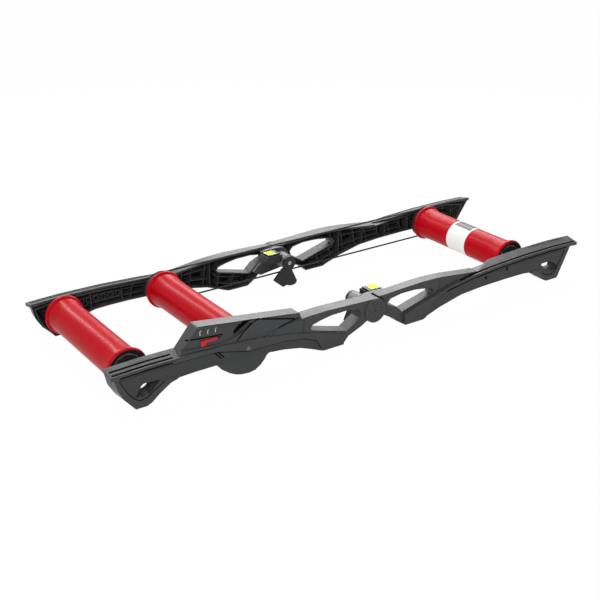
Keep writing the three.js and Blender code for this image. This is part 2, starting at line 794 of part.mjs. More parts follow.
function nut(x, sign) {
  const to = innerFace - gap;
  const from = to - nutThickness;
  const outline = arc(x, axleHeight, nutRadius, 0, 360 - 360 / nutSides, nutSides - 1);
  const bored = [sign * (from - overrun), sign * (to + overrun)];
  const bore = rod(axleRadius + gap, ...bored, x, axleHeight, smallSteps);
  return geometryOf(solid(slab(outline, sign * from, sign * to)).subtract(solid(bore)));
}

function screw(x, sign) {
  const face = halfWidth - gap;
  const under = face - screwHeadHeight;
  const end = under - screwLength;
  const profile = [
    [0, face], [screwHeadRadius, face], [screwHeadRadius, under],
    [screwRadius, under], [screwRadius, end], [0, end],
  ];
  return turned(profile.map(([r, y]) => [r, sign * y]), x, axleHeight, smallSteps);
}

const drums = {
  rear: { x: -rearDrumReach, belted: false, screwed: false },
  middle: { x: -middleDrumReach, belted: true, screwed: true },
  front: { x: frontDrumReach, belted: true, screwed: false },
};
for (const [name, { x, belted, screwed }] of Object.entries(drums)) {
  add(`${name}_drum_shell`, drumShell(x), drumPaint);
  add(`${name}_axle`, axle(x, screwed), steel);
  for (const [side, sign] of Object.entries(sides)) {
    add(`${name}_drum_${side}_cap`, endCap(x, sign, belted && side === 'far'), capPlastic);
    add(`${name}_drum_${side}_bearing`, bearing(x, sign), steel);
    if (screwed) {
      add(`${name}_axle_${side}_screw`, screw(x, sign), steel);
    } else {
      add(`${name}_axle_${side}_nut`, nut(x, sign), steel);
    }
  }
}

// Belt between the middle and front drums, on the far side
function belt() {
  const from = -middleDrumReach;
  const to = frontDrumReach;
  const turns = (cx, start, end) => arc(cx, axleHeight, beltPitchRadius, start, end, noseSteps);
  const loop = [...turns(from, 90, 270), ...turns(to, -90, 90)];
  const section = Array.from({ length: beltSides }, (_, i) => 2 * Math.PI * i / beltSides);
  const rings = loop.map(([x, z], i) => {
    const centre = i < loop.length / 2 ? from : to;
    const out = new THREE.Vector2(x - centre, z - axleHeight).normalize();
    return section.map((angle) => [
      x + out.x * beltRadius * Math.cos(angle), beltPlace + beltRadius * Math.sin(angle),
      z + out.y * beltRadius * Math.cos(angle),
    ]);
  });
  const count = section.length;
  const faces = [];
  rings.forEach((_, i) => {
    const next = (i + 1) % rings.length;
    for (let j = 0; j < count; j += 1) {
      const k = (j + 1) % count;
      faces.push(i * count + j, i * count + k, next * count + k);
      faces.push(i * count + j, next * count + k, next * count + j);
    }
  });
  const geometry = new THREE.BufferGeometry();
  geometry.setAttribute('position', new THREE.Float32BufferAttribute(rings.flat().flat(), 3));
  geometry.setIndex(faces);
  return outward(geometry);
}
add('drive_belt', belt(), rubber);

// Magnetic brake at the near end of the middle drum
const brakeX = -middleDrumReach;
const rotorBore = axleRadius + gap;
const rotorFront = rotorPlace + rotorThickness / 2;
const rotorBack = rotorPlace - rotorThickness / 2;
const rotorSeat = drumHalfLength - capRecess + gap;
add('brake_rotor', turned([
  [rotorBore, -rotorFront], [rotorRadius, -rotorFront], [rotorRadius, -rotorBack],
  [rotorHubRadius, -rotorBack], [rotorHubRadius, -rotorSeat], [rotorBore, -rotorSeat],
  [rotorBore, -rotorFront],
], brakeX, axleHeight, roundSteps), alloy);

// The carrier turns on the axle boss; the link's slot drives its post over equal angles either
// side of upright, so that the post goes as far as the slider.
const postLean = Math.asin(sliderTravel / 2 / postReach);
const postX = brakeX - sliderTravel / 2;
const postZ = axleHeight + postReach * Math.cos(postLean);

function magnetCarrier() {
  const back = carrierPlace + carrierThickness;
  return geometryOf(joined([
    solid(ring(carrierRadius, axleBossRadius + gap, -back, -carrierPlace, brakeX, axleHeight, roundSteps)),
    solid(rod(postRadius, -(back + postLength), -(carrierPlace + gap), postX, postZ, smallSteps)),
  ]));
}
add('magnet_carrier', magnetCarrier(), capPlastic);

function sliderLink() {
  const near = -(halfWidth - hoodInset - panelRecess - panelBacking - gap);
  const far = near + linkThickness;
  const middle = sliderTop - sliderHeight / 2;
  const highest = axleHeight + postReach;
  const room = postRadius + gap;
  const half = linkWidth / 2;
  const foot = Math.min(postZ, middle) - linkWidth;
  const head = Math.max(highest, middle) + linkWidth;
  const bar = solid(box(sliderStart + gap, postX, near, far, middle - half, middle + half));
  const eye = solid(box(postX - linkWidth, postX + linkWidth, near, far, foot, head));
  const slot = box(postX - room, postX + room, near - overrun, far + overrun, postZ - room, highest + room);
  return geometryOf(joined([bar, eye]).subtract(solid(slot)));
}
add('slider_link', sliderLink(), steel);

const innerCoverBack = innerFace + innerCoverThickness;
add('brake_inner_cover', ring(
  brakeRadius - gap, rotorHubRadius + wall, -innerCoverBack, -innerFace, brakeX, axleHeight,
  roundSteps,
), capPlastic);

// Each magnet set is one curved bar; two turn with the carrier and two stay on the inner cover.
const magnetSpread = 50;
const magnetSteps = 8;
const magnetSets = {
  carrier: carrierPlace - gap,
  cover: innerCoverBack + gap + magnetThickness,
};
for (const [holder, face] of Object.entries(magnetSets)) {
  for (const [name, middle] of [['upper', 90], ['lower', 270]]) {
    const bow = (radius, turn) => arc(
      brakeX, axleHeight, radius, middle - turn * magnetSpread, middle + turn * magnetSpread, magnetSteps);
    const outline = [...bow(carrierRadius - wall, 1), ...bow(carrierRadius - wall - magnetBand, -1)];
    add(`${holder}_${name}_magnets`, slab(outline, -face, -(face - magnetThickness)), magnetCoat);
  }
}

function brakeCover() {
  const under = sized(rearUnderShares).map(([along, z]) => [-along, z - gap]);
  const lid = [
    ...under, [-halfLength, under[under.length - 1][1]],
    [-halfLength, halfWidth], [0, halfWidth], [0, under[0][1]],
  ];
  const face = halfWidth - coverOutset;
  const bottom = coverShares.map(([along, up]) => [
    brakeX - along * brakeRadius, axleHeight + up * brakeRadius,
  ]);
  const outline = [[bottom[0][0], axleHeight], ...bottom, [bottom[bottom.length - 1][0], axleHeight]];
  const body = solid(slab(outline, -face, -innerFace));
  const room = solid(slab(inset(outline, wall), -(face - wall), -(innerFace - overrun)));
  const above = solid(slab(lid, -(face + overrun), -(innerFace - overrun)));
  return geometryOf(cutBy(body, [room, above]));
}
add('brake_cover', brakeCover(), capPlastic);

// Hood over the brake, its scale panel and the slider
function rearwards(shares) {
  return sized(shares).map(([along, z]) => [-along, z]);
}

function brakeHood() {
  const outline = rearwards(hoodShares);
  const outerFace = halfWidth - hoodInset;
  const panelFace = outerFace - panelRecess;
  const deepFace = panelFace - panelBacking;
  const body = solid(slab(rounded(outline, hoodWall), -outerFace, -innerFace));
  const room = solid(slab(inset(outline, hoodWall), -deepFace, -(innerFace + hoodWall)));
  const openBack = -(innerFace - overrun);
  const brakeRoom = rod(brakeRadius, -deepFace, openBack, brakeX, axleHeight, roundSteps);
  const flanges = [ridgeFlange(gap, true), strandFlange(true, gap, true)].map((flange) => solid(
    intoPlace(solid(flange), 'rear', sides.near)));
  const panelRoom = slab(rounded(rearwards(panelShares), hoodWall), -(outerFace + overrun), -panelFace);
  const slotEnd = sliderStart + sliderTravel + sliderLegWidth;
  const slotFoot = sliderTop - sliderHeight + slotMargin;
  const slotTop = sliderTop - slotMargin;
  const slot = box(sliderStart, slotEnd, -outerFace, -(deepFace - overrun), slotFoot, slotTop);
  return geometryOf(cutBy(body, [room, solid(brakeRoom), ...flanges, solid(panelRoom), solid(slot)]));
}
add('brake_hood', brakeHood(), framePlastic);

// The slider tab: a bar and a leg on the panel, and a key through the slot behind them.
function sliderTab() {
  const panelFace = halfWidth - hoodInset - panelRecess;
  const back = panelFace + gap;
  const face = back + sliderProud;
  const barFoot = sliderTop - sliderHeight;
  const legEnd = sliderStart + sliderLegWidth;
  const keyMargin = slotMargin + gap;
  const bar = solid(box(sliderStart, sliderStart + sliderLength, -face, -back, barFoot, sliderTop));
  const leg = solid(box(sliderStart, legEnd, -face, -back, barFoot - sliderLegDrop, sliderTop));
  const key = solid(box(sliderStart + gap, legEnd - gap, -back - gap, -(panelFace - panelBacking),
    barFoot + keyMargin, sliderTop - keyMargin));
  return geometryOf(joined([bar, leg, key]));
}
add('resistance_slider', sliderTab(), redPlastic);

export default rollers;
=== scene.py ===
"""Bicycle rollers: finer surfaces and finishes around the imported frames, drums, belt and brake."""

import json
import math

import bmesh
import bpy
import numpy as np
from mathutils import Matrix, Vector
from mathutils.bvhtree import BVHTree


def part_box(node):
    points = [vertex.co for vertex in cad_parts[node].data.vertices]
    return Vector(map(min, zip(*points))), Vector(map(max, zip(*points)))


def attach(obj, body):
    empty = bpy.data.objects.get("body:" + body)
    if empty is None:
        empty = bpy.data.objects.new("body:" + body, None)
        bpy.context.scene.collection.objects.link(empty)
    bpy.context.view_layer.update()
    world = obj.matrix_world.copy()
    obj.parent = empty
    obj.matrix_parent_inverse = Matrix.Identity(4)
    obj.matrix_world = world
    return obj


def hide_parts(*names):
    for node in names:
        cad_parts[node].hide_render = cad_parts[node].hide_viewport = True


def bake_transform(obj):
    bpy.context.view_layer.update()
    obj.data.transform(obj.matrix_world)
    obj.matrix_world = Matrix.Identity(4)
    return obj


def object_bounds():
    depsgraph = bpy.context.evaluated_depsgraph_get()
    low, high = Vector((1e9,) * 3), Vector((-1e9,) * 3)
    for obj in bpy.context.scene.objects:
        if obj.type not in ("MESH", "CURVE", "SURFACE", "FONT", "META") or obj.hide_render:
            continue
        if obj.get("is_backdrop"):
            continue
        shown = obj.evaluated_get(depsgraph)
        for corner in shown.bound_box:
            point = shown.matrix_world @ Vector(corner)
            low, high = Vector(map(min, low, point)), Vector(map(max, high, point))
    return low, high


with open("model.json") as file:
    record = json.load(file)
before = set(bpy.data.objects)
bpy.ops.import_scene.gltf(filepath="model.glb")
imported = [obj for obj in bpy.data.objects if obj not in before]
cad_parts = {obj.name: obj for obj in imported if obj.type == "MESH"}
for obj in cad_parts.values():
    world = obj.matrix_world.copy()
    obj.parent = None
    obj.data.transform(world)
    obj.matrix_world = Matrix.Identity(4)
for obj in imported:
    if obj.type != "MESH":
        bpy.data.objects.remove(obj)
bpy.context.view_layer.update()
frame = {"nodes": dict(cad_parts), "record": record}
nodes = frame["nodes"]
behaviour = frame["record"]["behaviour"]
body_of = {}
for body_name, members in behaviour["bodies"].items():
    for member in members:
        body_of[member] = body_name
pivot = {joint["name"]: joint.get("pos_m") for joint in behaviour["joints"]}

MM = 0.001
SIDES = {"near": -1, "far": 1}
HALVES = {"rear": -1, "front": 1}
DRUMS = {
    drum: (pivot[f"{drum}_drum_spin"][0], pivot[f"{drum}_drum_spin"][2])
    for drum in ("rear", "middle", "front")}
HINGE = (pivot["frame_fold"][0], pivot["frame_fold"][2])

# Sizes of the moulded frames, as the solids have them
HALF_LENGTH = 713 * MM
HALF_WIDTH = 240 * MM
TOP = 100 * MM
DEPTH = 38 * MM
SLOPE = 8 * MM
NOSED_INSET = 3 * MM
POCKET_INSET = 8 * MM
RIDGE_SHARES = (
    (0.133, 0.30), (0.195, 0.44), (0.244, 0.54), (0.344, 0.71), (0.463, 0.84), (0.572, 0.90),
    (0.721, 0.95), (0.875, 0.96), (1.000, 0.93),
)
ARM_SHARES = (
    (0, 0.98), (0.067, 1.00), (0.133, 1.02), (0.210, 1.04), (0.281, 1.03), (0.337, 1.00),
    (0.407, 0.94), (0.484, 0.88),
)

# Sunk fields and grooves in the frames, with dark strips in the grooves as painted shade
FIELD_DEPTH = 2.0 * MM
FIELD_CORNER = 5 * MM
GROOVE_WIDTH = 3.2 * MM
GROOVE_DEPTH = 1.4 * MM
TOP_GROOVE_WIDTH = 5.6 * MM
LINE_TOP = 0.35 * MM
LINE_ROOT = 0.3 * MM
LIP_DROP = 8 * MM
PAST = 1 * MM
EDGE_WIDTH = 0.8 * MM
FIELD_SHARES = {
    "rear": (
        (0.229, 0.11), (0.238, 0.00), (0.300, 0.12), (0.379, 0.28), (0.463, 0.34), (0.561, 0.38),
        (0.634, 0.40), (0.714, 0.40), (0.765, 0.42), (0.795, 0.52), (0.822, 0.47), (0.860, 0.31),
        (0.885, 0.20), (0.908, 0.18), (0.928, 0.27), (0.947, 0.44), (0.966, 0.68), (0.975, 0.81),
        (0.875, 0.845), (0.721, 0.835), (0.634, 0.815), (0.570, 0.71), (0.5175, 0.605), (0.440, 0.60),
        (0.372, 0.585), (0.300, 0.50), (0.248, 0.34),
    ),
    "front": (
        (0.229, 0.11), (0.238, 0.00), (0.297, 0.10), (0.345, 0.20), (0.401, 0.29), (0.506, 0.35),
        (0.628, 0.37), (0.735, 0.37), (0.775, 0.47), (0.822, 0.27), (0.845, 0.17), (0.880, 0.17),
        (0.897, 0.27), (0.924, 0.62), (0.937, 0.81), (0.875, 0.845), (0.721, 0.835), (0.628, 0.80),
        (0.440, 0.745), (0.340, 0.65), (0.290, 0.54), (0.250, 0.37),
    ),
}
FIELD_EDGE_START = {"rear": 10, "front": 9}
FIELD_LINE_WIDTH = 3.6 * MM
FIELD_LINE_FACE = HALF_WIDTH - FIELD_DEPTH + LINE_TOP + LINE_ROOT
LIP_SPANS = {"rear": (0.79, 0.97), "front": (0.33, 0.945)}
OUTER_GROOVE = 7 * MM
INNER_GROOVE = 20 * MM
TOP_GROOVE_END = 0.992
TOP_LINE_END = 0.99
TOP_GROOVES = {
    ("near", "rear"): ((OUTER_GROOVE, 0.785), (INNER_GROOVE, 0.785)),
    ("far", "rear"): ((OUTER_GROOVE, 0.45), (INNER_GROOVE, 0.45)),
    ("near", "front"): ((OUTER_GROOVE, 0.40),),
    ("far", "front"): ((OUTER_GROOVE, 0.40),),
}

# Two slanting notches beside the hood, and two dark patches in the front frames as painted shade of slots, as
# (x, z, half width, half height)
NOTCHES = (((-457.6, 81.0), (-440.0, 61.8)), ((-450.5, 82.0), (-433.0, 63.0)))
NOTCH_DEPTH = 0.6 * MM
NOTCH_WIDTH = 2.4 * MM
PAINTED_SLOT_SHADES = ((370.8, 66, 3, 4.5), (447, 75, 2.4, 7))
SLOT_ROOT = 0.5 * MM

# End walls as (height, how far out at the web, how far out at the open side)
END_WALL = 2.5 * MM
END_WALL_ROOT = 3 * MM
END_WALLS = {
    "rear": ((12, 668, 668), (33, 684, 690), (57, 697, 705), (86, 705, 712)),
    "front": ((12, 648, 652), (33, 658, 666), (60, 672, 686), (86, 684.5, 706)),
}

# Outer ends of the arm's cross ribs
RIB_PLACES = (0.30, 0.42)
RIB_HALF = 1.3 * MM
ARM_UNDER = 5.2 * MM
RIB_CLEARANCE = 0.02 * MM

# Lines and the sunk corner of the brake hood
HOOD_FACE = 236.01 * MM
PANEL_FACE = 232.02 * MM
HOOD_CORNER = ((-356, 136), (-381, 138.5), (-407, 116), (-434, 100), (-431, 97), (-409, 108))
HOOD_CORNER_DEPTH = 3.5 * MM
HOOD_FLOOR_LIFT = 0.6 * MM
HOOD_EDGE_WIDTH = 1.2 * MM
SLIDER_EDGE_WIDTH = 0.6 * MM
# A dark slab at the floor of the sunk corner, as painted shade
HOOD_CORNER_SHADE = ((-356, 136), (-381, 138.5), (-403.5, 119), (-403.5, 110.9))
HOOD_LINES = (
    ((-397, 93), (-377, 112), (-344, 131.5), (-312, 125.5), (-239, 107)),
    ((-300, 89), (-267, 99.5), (-226, 107)),
    ((-292, 86.8), (-252, 88.5), (-228, 97)),
)
PANEL_LINE = ((-527, 128.5), (-493, 123.5), (-432, 117.6))


# Surfaces

def grid_faces(rows, columns, round_rows, round_columns):
    """Quads between the neighbours of a grid, closed round in either direction where asked."""
    i = np.arange(rows if round_rows else rows - 1)
    j = np.arange(columns if round_columns else columns - 1)
    i, j = np.meshgrid(i, j, indexing="ij")
    down, on = (i + 1) % rows, (j + 1) % columns
    quads = [i * columns + j, i * columns + on, down * columns + on, down * columns + j]
    return np.stack(quads, -1).reshape(-1, 4)


def shell_of(name, points, faces):
    """A mesh of the points and faces with its doubles merged and its faces turned outwards."""
    mesh = bpy.data.meshes.new(name)
    mesh.from_pydata(np.asarray(points, float).reshape(-1, 3).tolist(), [], faces)
    work = bmesh.new()
    work.from_mesh(mesh)
    bmesh.ops.remove_doubles(work, verts=work.verts, dist=1e-6)
    bmesh.ops.dissolve_degenerate(work, edges=work.edges, dist=1e-7)
    bmesh.ops.recalc_face_normals(work, faces=work.faces)
    work.to_mesh(mesh)
    work.free()
    return mesh


def shown(name, mesh, finish, body, sharp=35.0):
    """A mesh as a piece at the origin, smooth between its sharp edges, that moves with a body."""
    mesh.shade_smooth()
    mesh.set_sharp_from_angle(angle=math.radians(sharp))
    if finish:
        mesh.materials.clear()
        mesh.materials.append(finish)
    made = bpy.data.objects.new(name, mesh)
    bpy.context.scene.collection.objects.link(made)
    if body:
        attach(made, body)
    return made


def piece(name, points, faces, finish, body, sharp=35.0):
    """Points and faces as a piece of its own that moves with a body."""
    faces = faces.tolist() if isinstance(faces, np.ndarray) else faces
    return shown(name, shell_of(name, points, faces), finish, body, sharp)


def together(parts):
    """Several (points, faces) as one."""
    points, faces, start = [], [], 0
    for some, quads in parts:
        some = np.asarray(some, float).reshape(-1, 3)
        points.append(some)
        faces += [[start + corner for corner in face] for face in quads]
        start += len(some)
    return np.concatenate(points), faces


def eased(points, reach, steps, closed=True):
    """Each corner of a line becomes a quadratic curve that starts and ends a reach away from it."""
    points = np.asarray(points, float)
    before, after = np.roll(points, 1, 0), np.roll(points, -1, 0)
    back, on = before - points, after - points
    back_length = np.linalg.norm(back, axis=1, keepdims=True)
    on_length = np.linalg.norm(on, axis=1, keepdims=True)
    share = 0.46
    cut = np.minimum(reach, np.minimum(back_length, on_length) * share)
    start = points + back / np.maximum(back_length, 1e-12) * cut
    end = points + on / np.maximum(on_length, 1e-12) * cut
    t = np.linspace(0, 1, steps + 1)[None, :, None]
    curve = (1 - t) ** 2 * start[:, None] + 2 * t * (1 - t) * points[:, None] + t ** 2 * end[:, None]
    if closed:
        return curve.reshape(-1, points.shape[1])
    return np.concatenate([points[:1], curve[1:-1].reshape(-1, points.shape[1]), points[-1:]])


def flowing(points, steps=8):
    """The cubic curve through all the points whose slope at each is half the step between its neighbours."""
    p = np.asarray(points, float)
    p = np.concatenate([2 * p[:1] - p[1:2], p, 2 * p[-1:] - p[-2:-1]])
    t = np.linspace(0, 1, steps, endpoint=False)[None, :, None]
    a, b, c, d = p[:-3, None], p[1:-2, None], p[2:-1, None], p[3:, None]
    square = (2 * a - 5 * b + 4 * c - d) * t ** 2
    cube = (3 * b - a - 3 * c + d) * t ** 3
    curve = 0.5 * (2 * b + (c - a) * t + square + cube)
    return np.concatenate([curve.reshape(-1, p.shape[1]), p[-2:-1]])


def carried(path, section, ring=False):
    """A bar along a path in X and Z: a section pair is (along the path's normal in that plane, along Y)."""
    path, section = np.asarray(path, float), np.asarray(section, float)
    if ring:
        tangent = np.roll(path, -1, 0) - np.roll(path, 1, 0)
    else:
        tangent = np.gradient(path, axis=0)
    tangent /= np.linalg.norm(tangent, axis=1, keepdims=True)
    normal = np.stack([-tangent[:, 1], tangent[:, 0]], -1)
    flat = path[:, None] + normal[:, None] * section[None, :, :1]
    along = np.broadcast_to(section[None, :, 1], flat.shape[:2])
    points = np.stack([flat[..., 0], along, flat[..., 1]], -1)
    rows, columns = len(path), len(section)
    faces = grid_faces(rows, columns, ring, True).tolist()
    if not ring:
        faces += [list(range(columns)), list(range((rows - 1) * columns, rows * columns))]
    return points, faces


def rectangle(low_a, low_b, high_a, high_b):
    """The four corners of a rectangle in order."""
    return [(low_a, low_b), (high_a, low_b), (high_a, high_b), (low_a, high_b)]


def slab(outline, low, high):
    """A flat outline in X and Z between two depths along Y, closed by its own face at either end."""
    outline = np.asarray(outline, float)
    count = len(outline)
    along = np.array([low, high])[:, None] + np.zeros(count)[None]
    points = np.stack(np.broadcast_arrays(outline[None, :, 0], along, outline[None, :, 1]), -1)
    faces = grid_faces(2, count, False, True).tolist()
    return points, faces + [list(range(count)), list(range(count, 2 * count))]


def block(low, high):
    """A box between two corners."""
    return slab(rectangle(low[0], low[2], high[0], high[2]), low[1], high[1])


def lathe_grid(profile, centre, sides, closed=True, start=0.0, turn=2 * np.pi):
    """A profile of (radius, y) carried round a line along Y: x = cx + r sin t, z = cz + r cos t."""
    profile = np.asarray(profile, float)
    full = abs(turn - 2 * np.pi) < 1e-9
    t = np.linspace(start, start + turn, sides, endpoint=not full)[:, None]
    radius, along = profile[:, 0][None], profile[:, 1][None]
    points = np.stack(np.broadcast_arrays(
        centre[0] + radius * np.sin(t), along, centre[1] + radius * np.cos(t)), -1)
    faces = grid_faces(sides, len(profile), full, closed).tolist()
    if not full:
        columns = len(profile)
        faces += [list(range(columns)), list(range((sides - 1) * columns, sides * columns))]
    return points, faces


def lathe(name, profile, centre, finish, body, sides=96, closed=True, sharp=35.0):
    """A turned piece round a line along Y."""
    points, faces = lathe_grid(profile, centre, sides, closed)
    return piece(name, points, faces, finish, body, sharp)


def merged_copy(node):
    """The node's mesh as a bmesh with its loose triangles joined."""
    work = bmesh.new()
    work.from_mesh(nodes[node].data)
    bmesh.ops.remove_doubles(work, verts=work.verts, dist=2e-6)
    return work


def profile_of(node, centre):
    """A turned node's half section, as ordered (radius, y) points, and whether it is a ring."""
    work = merged_copy(node)
    kept = {v.index: (v.co.z - centre[1], v.co.y) for v in work.verts
            if abs(v.co.x - centre[0]) < 2e-5 and v.co.z > centre[1] - 1e-5}
    links = {i: [] for i in kept}
    for edge in work.edges:
        a, b = edge.verts[0].index, edge.verts[1].index
        if a in kept and b in kept:
            links[a].append(b)
            links[b].append(a)
    work.free()
    ends = [i for i, near in links.items() if len(near) == 1]
    path = [ends[0] if ends else next(iter(links))]
    while True:
        step = [i for i in links[path[-1]] if i not in path]
        if not step:
            break
        path.append(step[0])
    return np.array([kept[i] for i in path]), not ends


def stands_for(made, node):
    """The piece takes the node's place, and the node is hidden."""
    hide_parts(node)
    return made


def finer(node, centre, finish, reach=0.4 * MM, steps=2, sides=96):
    """The same turned piece with a round section and eased edges, in place of its node."""
    profile, closed = profile_of(node, centre)
    line = eased(profile, reach, steps, closed)
    made = lathe(node + "_turned", line, centre, finish, body_of[node], sides, closed)
    return stands_for(made, node)


def carve(mesh, tools):
    """The mesh less some closed (points, faces), worked out by a Boolean whose tool is then removed."""
    body = bpy.data.objects.new("body", mesh)
    tool = bpy.data.objects.new("tool", shell_of("tool", *together(tools)))
    for made in (body, tool):
        bpy.context.scene.collection.objects.link(made)
    cut = body.modifiers.new("cut", "BOOLEAN")
    cut.operation = "DIFFERENCE"
    cut.solver = "EXACT"
    cut.use_self = True
    cut.object = tool
    bpy.context.view_layer.update()
    depsgraph = bpy.context.evaluated_depsgraph_get()
    result = bpy.data.meshes.new_from_object(body.evaluated_get(depsgraph))
    for made in (body, tool):
        bpy.data.objects.remove(made)
    return result


def soften(mesh, width, shortest=2.5 * MM, least=24.0):
    """Rounds the longer sharp edges of a mesh by a width, after its many-sided faces are cut in triangles."""
    work = bmesh.new()
    work.from_mesh(mesh)
    bmesh.ops.triangulate(work, faces=[face for face in work.faces if len(face.verts) > 4])
    bmesh.ops.remove_doubles(work, verts=work.verts, dist=5e-6)
    bmesh.ops.dissolve_degenerate(work, edges=work.edges, dist=1e-6)
    edges = [edge for edge in work.edges if len(edge.link_faces) == 2 and edge.calc_length() > shortest
             and edge.calc_face_angle(0) > math.radians(least)]
    bmesh.ops.bevel(work, geom=edges, offset=width, offset_type="OFFSET", segments=2, profile=0.6,
                    affect="EDGES", clamp_overlap=False)
    bmesh.ops.triangulate(work, faces=work.faces)
    work.to_mesh(mesh)
    work.free()
    return mesh


def moulded_copy(node, finish, width, tools=()):
    """The node's own shape, carved and with its edges rounded, in place of the node."""
    work = merged_copy(node)
    mesh = bpy.data.meshes.new(node + "_moulded")
    work.to_mesh(mesh)
    work.free()
    if tools:
        mesh = carve(mesh, tools)
    made = shown(node + "_moulded", soften(mesh, width), finish, body_of[node], 40)
    weighted = made.modifiers.new("flat_faces", "WEIGHTED_NORMAL")
    weighted.keep_sharp = True
    return stands_for(made, node)


# Finishes

class Signal:
    """The value of a socket; sums and products of signals add Math nodes."""

    def __init__(self, shading, socket):
        self.shading = shading
        self.socket = socket

    def math(self, operation, *values):
        """A Math node's result for some values or signals."""
        return self.shading.node("ShaderNodeMath", {"operation": operation}, values)

    def __add__(self, other):
        return self.math("ADD", self, other)

    def __mul__(self, other):
        return self.math("MULTIPLY", self, other)

    def __sub__(self, other):
        return self.math("SUBTRACT", self, other)

    __radd__ = __add__
    __rmul__ = __mul__

    def size(self):
        """The value without its sign."""
        return self.math("ABSOLUTE", self)

    def at_least(self, other):
        """The larger of the two values."""
        return self.math("MAXIMUM", self, other)

    def between(self, low, high):
        """0 below low, 1 above high and smooth between them."""
        smooth = {"interpolation_type": "SMOOTHSTEP"}
        return self.shading.node("ShaderNodeMapRange", smooth, (self, low, high))


class Shading:
    """A node tree whose nodes all come from one method."""

    def __init__(self, tree):
        self.tree = tree

    def node(self, kind, settings, values, output=0):
        """A new node with its settings and input values, as the signal of one of its outputs."""
        made = self.tree.nodes.new(kind)
        for name, value in settings.items():
            setattr(made, name, value)
        pairs = values.items() if isinstance(values, dict) else enumerate(values)
        for key, value in pairs:
            self.put(value, made.inputs[key])
        return Signal(self, made.outputs[output])

    def put(self, value, socket):
        """Sets a socket to a plain value, or links a signal to it."""
        if isinstance(value, Signal):
            self.tree.links.new(value.socket, socket)
        else:
            socket.default_value = value

    def backdrop(self):
        """1 for rays that see the background, also in gloss and glass, 0 for those that light the object."""
        seen = [self.node("ShaderNodeLightPath", {}, {}, f"Is {kind} Ray")
                for kind in ("Camera", "Glossy", "Transmission")]
        return seen[0].at_least(seen[1]).at_least(seen[2])


class Finish(Shading):
    """A material whose shader sockets take numbers, colours or signals."""

    def __init__(self, name, **sockets):
        self.material = bpy.data.materials.new(name)
        self.material.use_nodes = True
        super().__init__(self.material.node_tree)
        self.shader = self.tree.nodes["Principled BSDF"]
        self.set(**sockets)

    def set(self, **sockets):
        """Sets shader inputs by name, with _ for a space."""
        for name, value in sockets.items():
            self.put(value, self.shader.inputs[name.replace("_", " ")])

    def place(self, scale=(1.0, 1.0, 1.0)):
        """The point on the piece, with each axis scaled."""
        raw = self.node("ShaderNodeTexCoord", {}, {}, "Object")
        return self.node("ShaderNodeMapping", {}, {"Vector": raw, "Scale": scale})

    def along(self, axis):
        """How far the point lies along one axis, in metres."""
        return self.node("ShaderNodeSeparateXYZ", {}, (self.place(),), axis)

    def facing(self, axis):
        """How far the surface faces one axis, from -1 to 1."""
        raw = self.node("ShaderNodeTexCoord", {}, {}, "Normal")
        return self.node("ShaderNodeSeparateXYZ", {}, (raw,), axis)

    def noise(self, scale, detail=3.0, stretch=(1.0, 1.0, 1.0)):
        """Noise from 0 to 1 that is fixed to the piece."""
        values = {"Vector": self.place(stretch), "Scale": scale, "Detail": detail}
        return self.node("ShaderNodeTexNoise", {}, values)

    def mix(self, mask, one, two):
        """The first colour where the mask is 0 and the second where it is 1."""
        values = {0: mask, 6: one, 7: two}
        return self.node("ShaderNodeMix", {"data_type": "RGBA"}, values, 2)

    def bump(self, height, strength, distance):
        """Makes the surface look uneven by a height signal."""
        values = {"Strength": strength, "Distance": distance, "Height": height}
        self.set(Normal=self.node("ShaderNodeBump", {}, values))


def shade(colour, factor):
    """A colour made darker or lighter by a factor, with full cover."""
    return (*[c * factor for c in colour], 1.0)


# Lighter colour on up-facing faces: partly dust, partly painted light on the tops
DUST_AND_TOP_LIGHT = (0.11, 0.108, 0.104, 1.0)
# Where painted shade falls on the frames: the face of the sunk field and the inner face of the web deep
# inside
SUNK_FACE = (HALF_WIDTH - 3.0 * MM, HALF_WIDTH - 2.4 * MM)
SUNK_RIM = (HALF_WIDTH - 1.0 * MM, HALF_WIDTH - 1.6 * MM)
DEEP_SIDE = (HALF_WIDTH - 31 * MM, HALF_WIDTH - 16 * MM)


def moulded_plastic(name, colour, roughness, grain=0.16, dust_and_light=0.3, painted_inside_shade=False, gloss=0.26):
    """Injection-moulded plastic: spark-eroded grain, slow mottling, scuffs, lighter tops that are partly dust
    and partly painted light, and painted shade on the sunk field and on the inner face of the web.
    """
    finish = Finish(name, Specular_IOR_Level=gloss)
    mottle = finish.noise(14.0, 4.0)
    grit = finish.noise(1500.0, 2.0)
    scuffs = finish.noise(60.0, 6.0, (1.0, 1.0, 4.0)).between(0.62, 0.75)
    # Up-facing faces lighter: partly dust, partly painted light on the tops
    dust_and_top_light = finish.facing(2).between(0.5, 1.0) * finish.noise(40.0, 5.0).between(0.35, 0.8) * dust_and_light
    base = finish.mix(mottle, shade(colour, 0.85), shade(colour, 1.15))
    base = finish.mix(scuffs * 0.2, base, shade(colour, 1.8))
    base = finish.mix(dust_and_top_light, base, DUST_AND_TOP_LIGHT)
    # Painted shade: the sunk field's face a little darker and the inner face of the web nearly black
    if painted_inside_shade:
        across = finish.along(1)
        outwards = across * finish.facing(1)
        sunk = across.size().between(*SUNK_FACE) * across.size().between(*SUNK_RIM)
        base = finish.mix(sunk * outwards.between(0.1, 0.2), base, shade(colour, 0.8))
        deep = across.size().between(*DEEP_SIDE) * finish.facing(2).size().between(0.9, 0.4)
        inboard = outwards.between(-0.02, -0.06)
        base = finish.mix(deep * inboard, base, shade(colour, 0.1))
    finish.set(Base_Color=base, Roughness=roughness + (mottle - 0.5) * 0.14 + scuffs * 0.1 + dust_and_top_light * 0.1)
    finish.bump(grit + mottle * 0.3, grain, 0.15 * MM)
    return finish.material


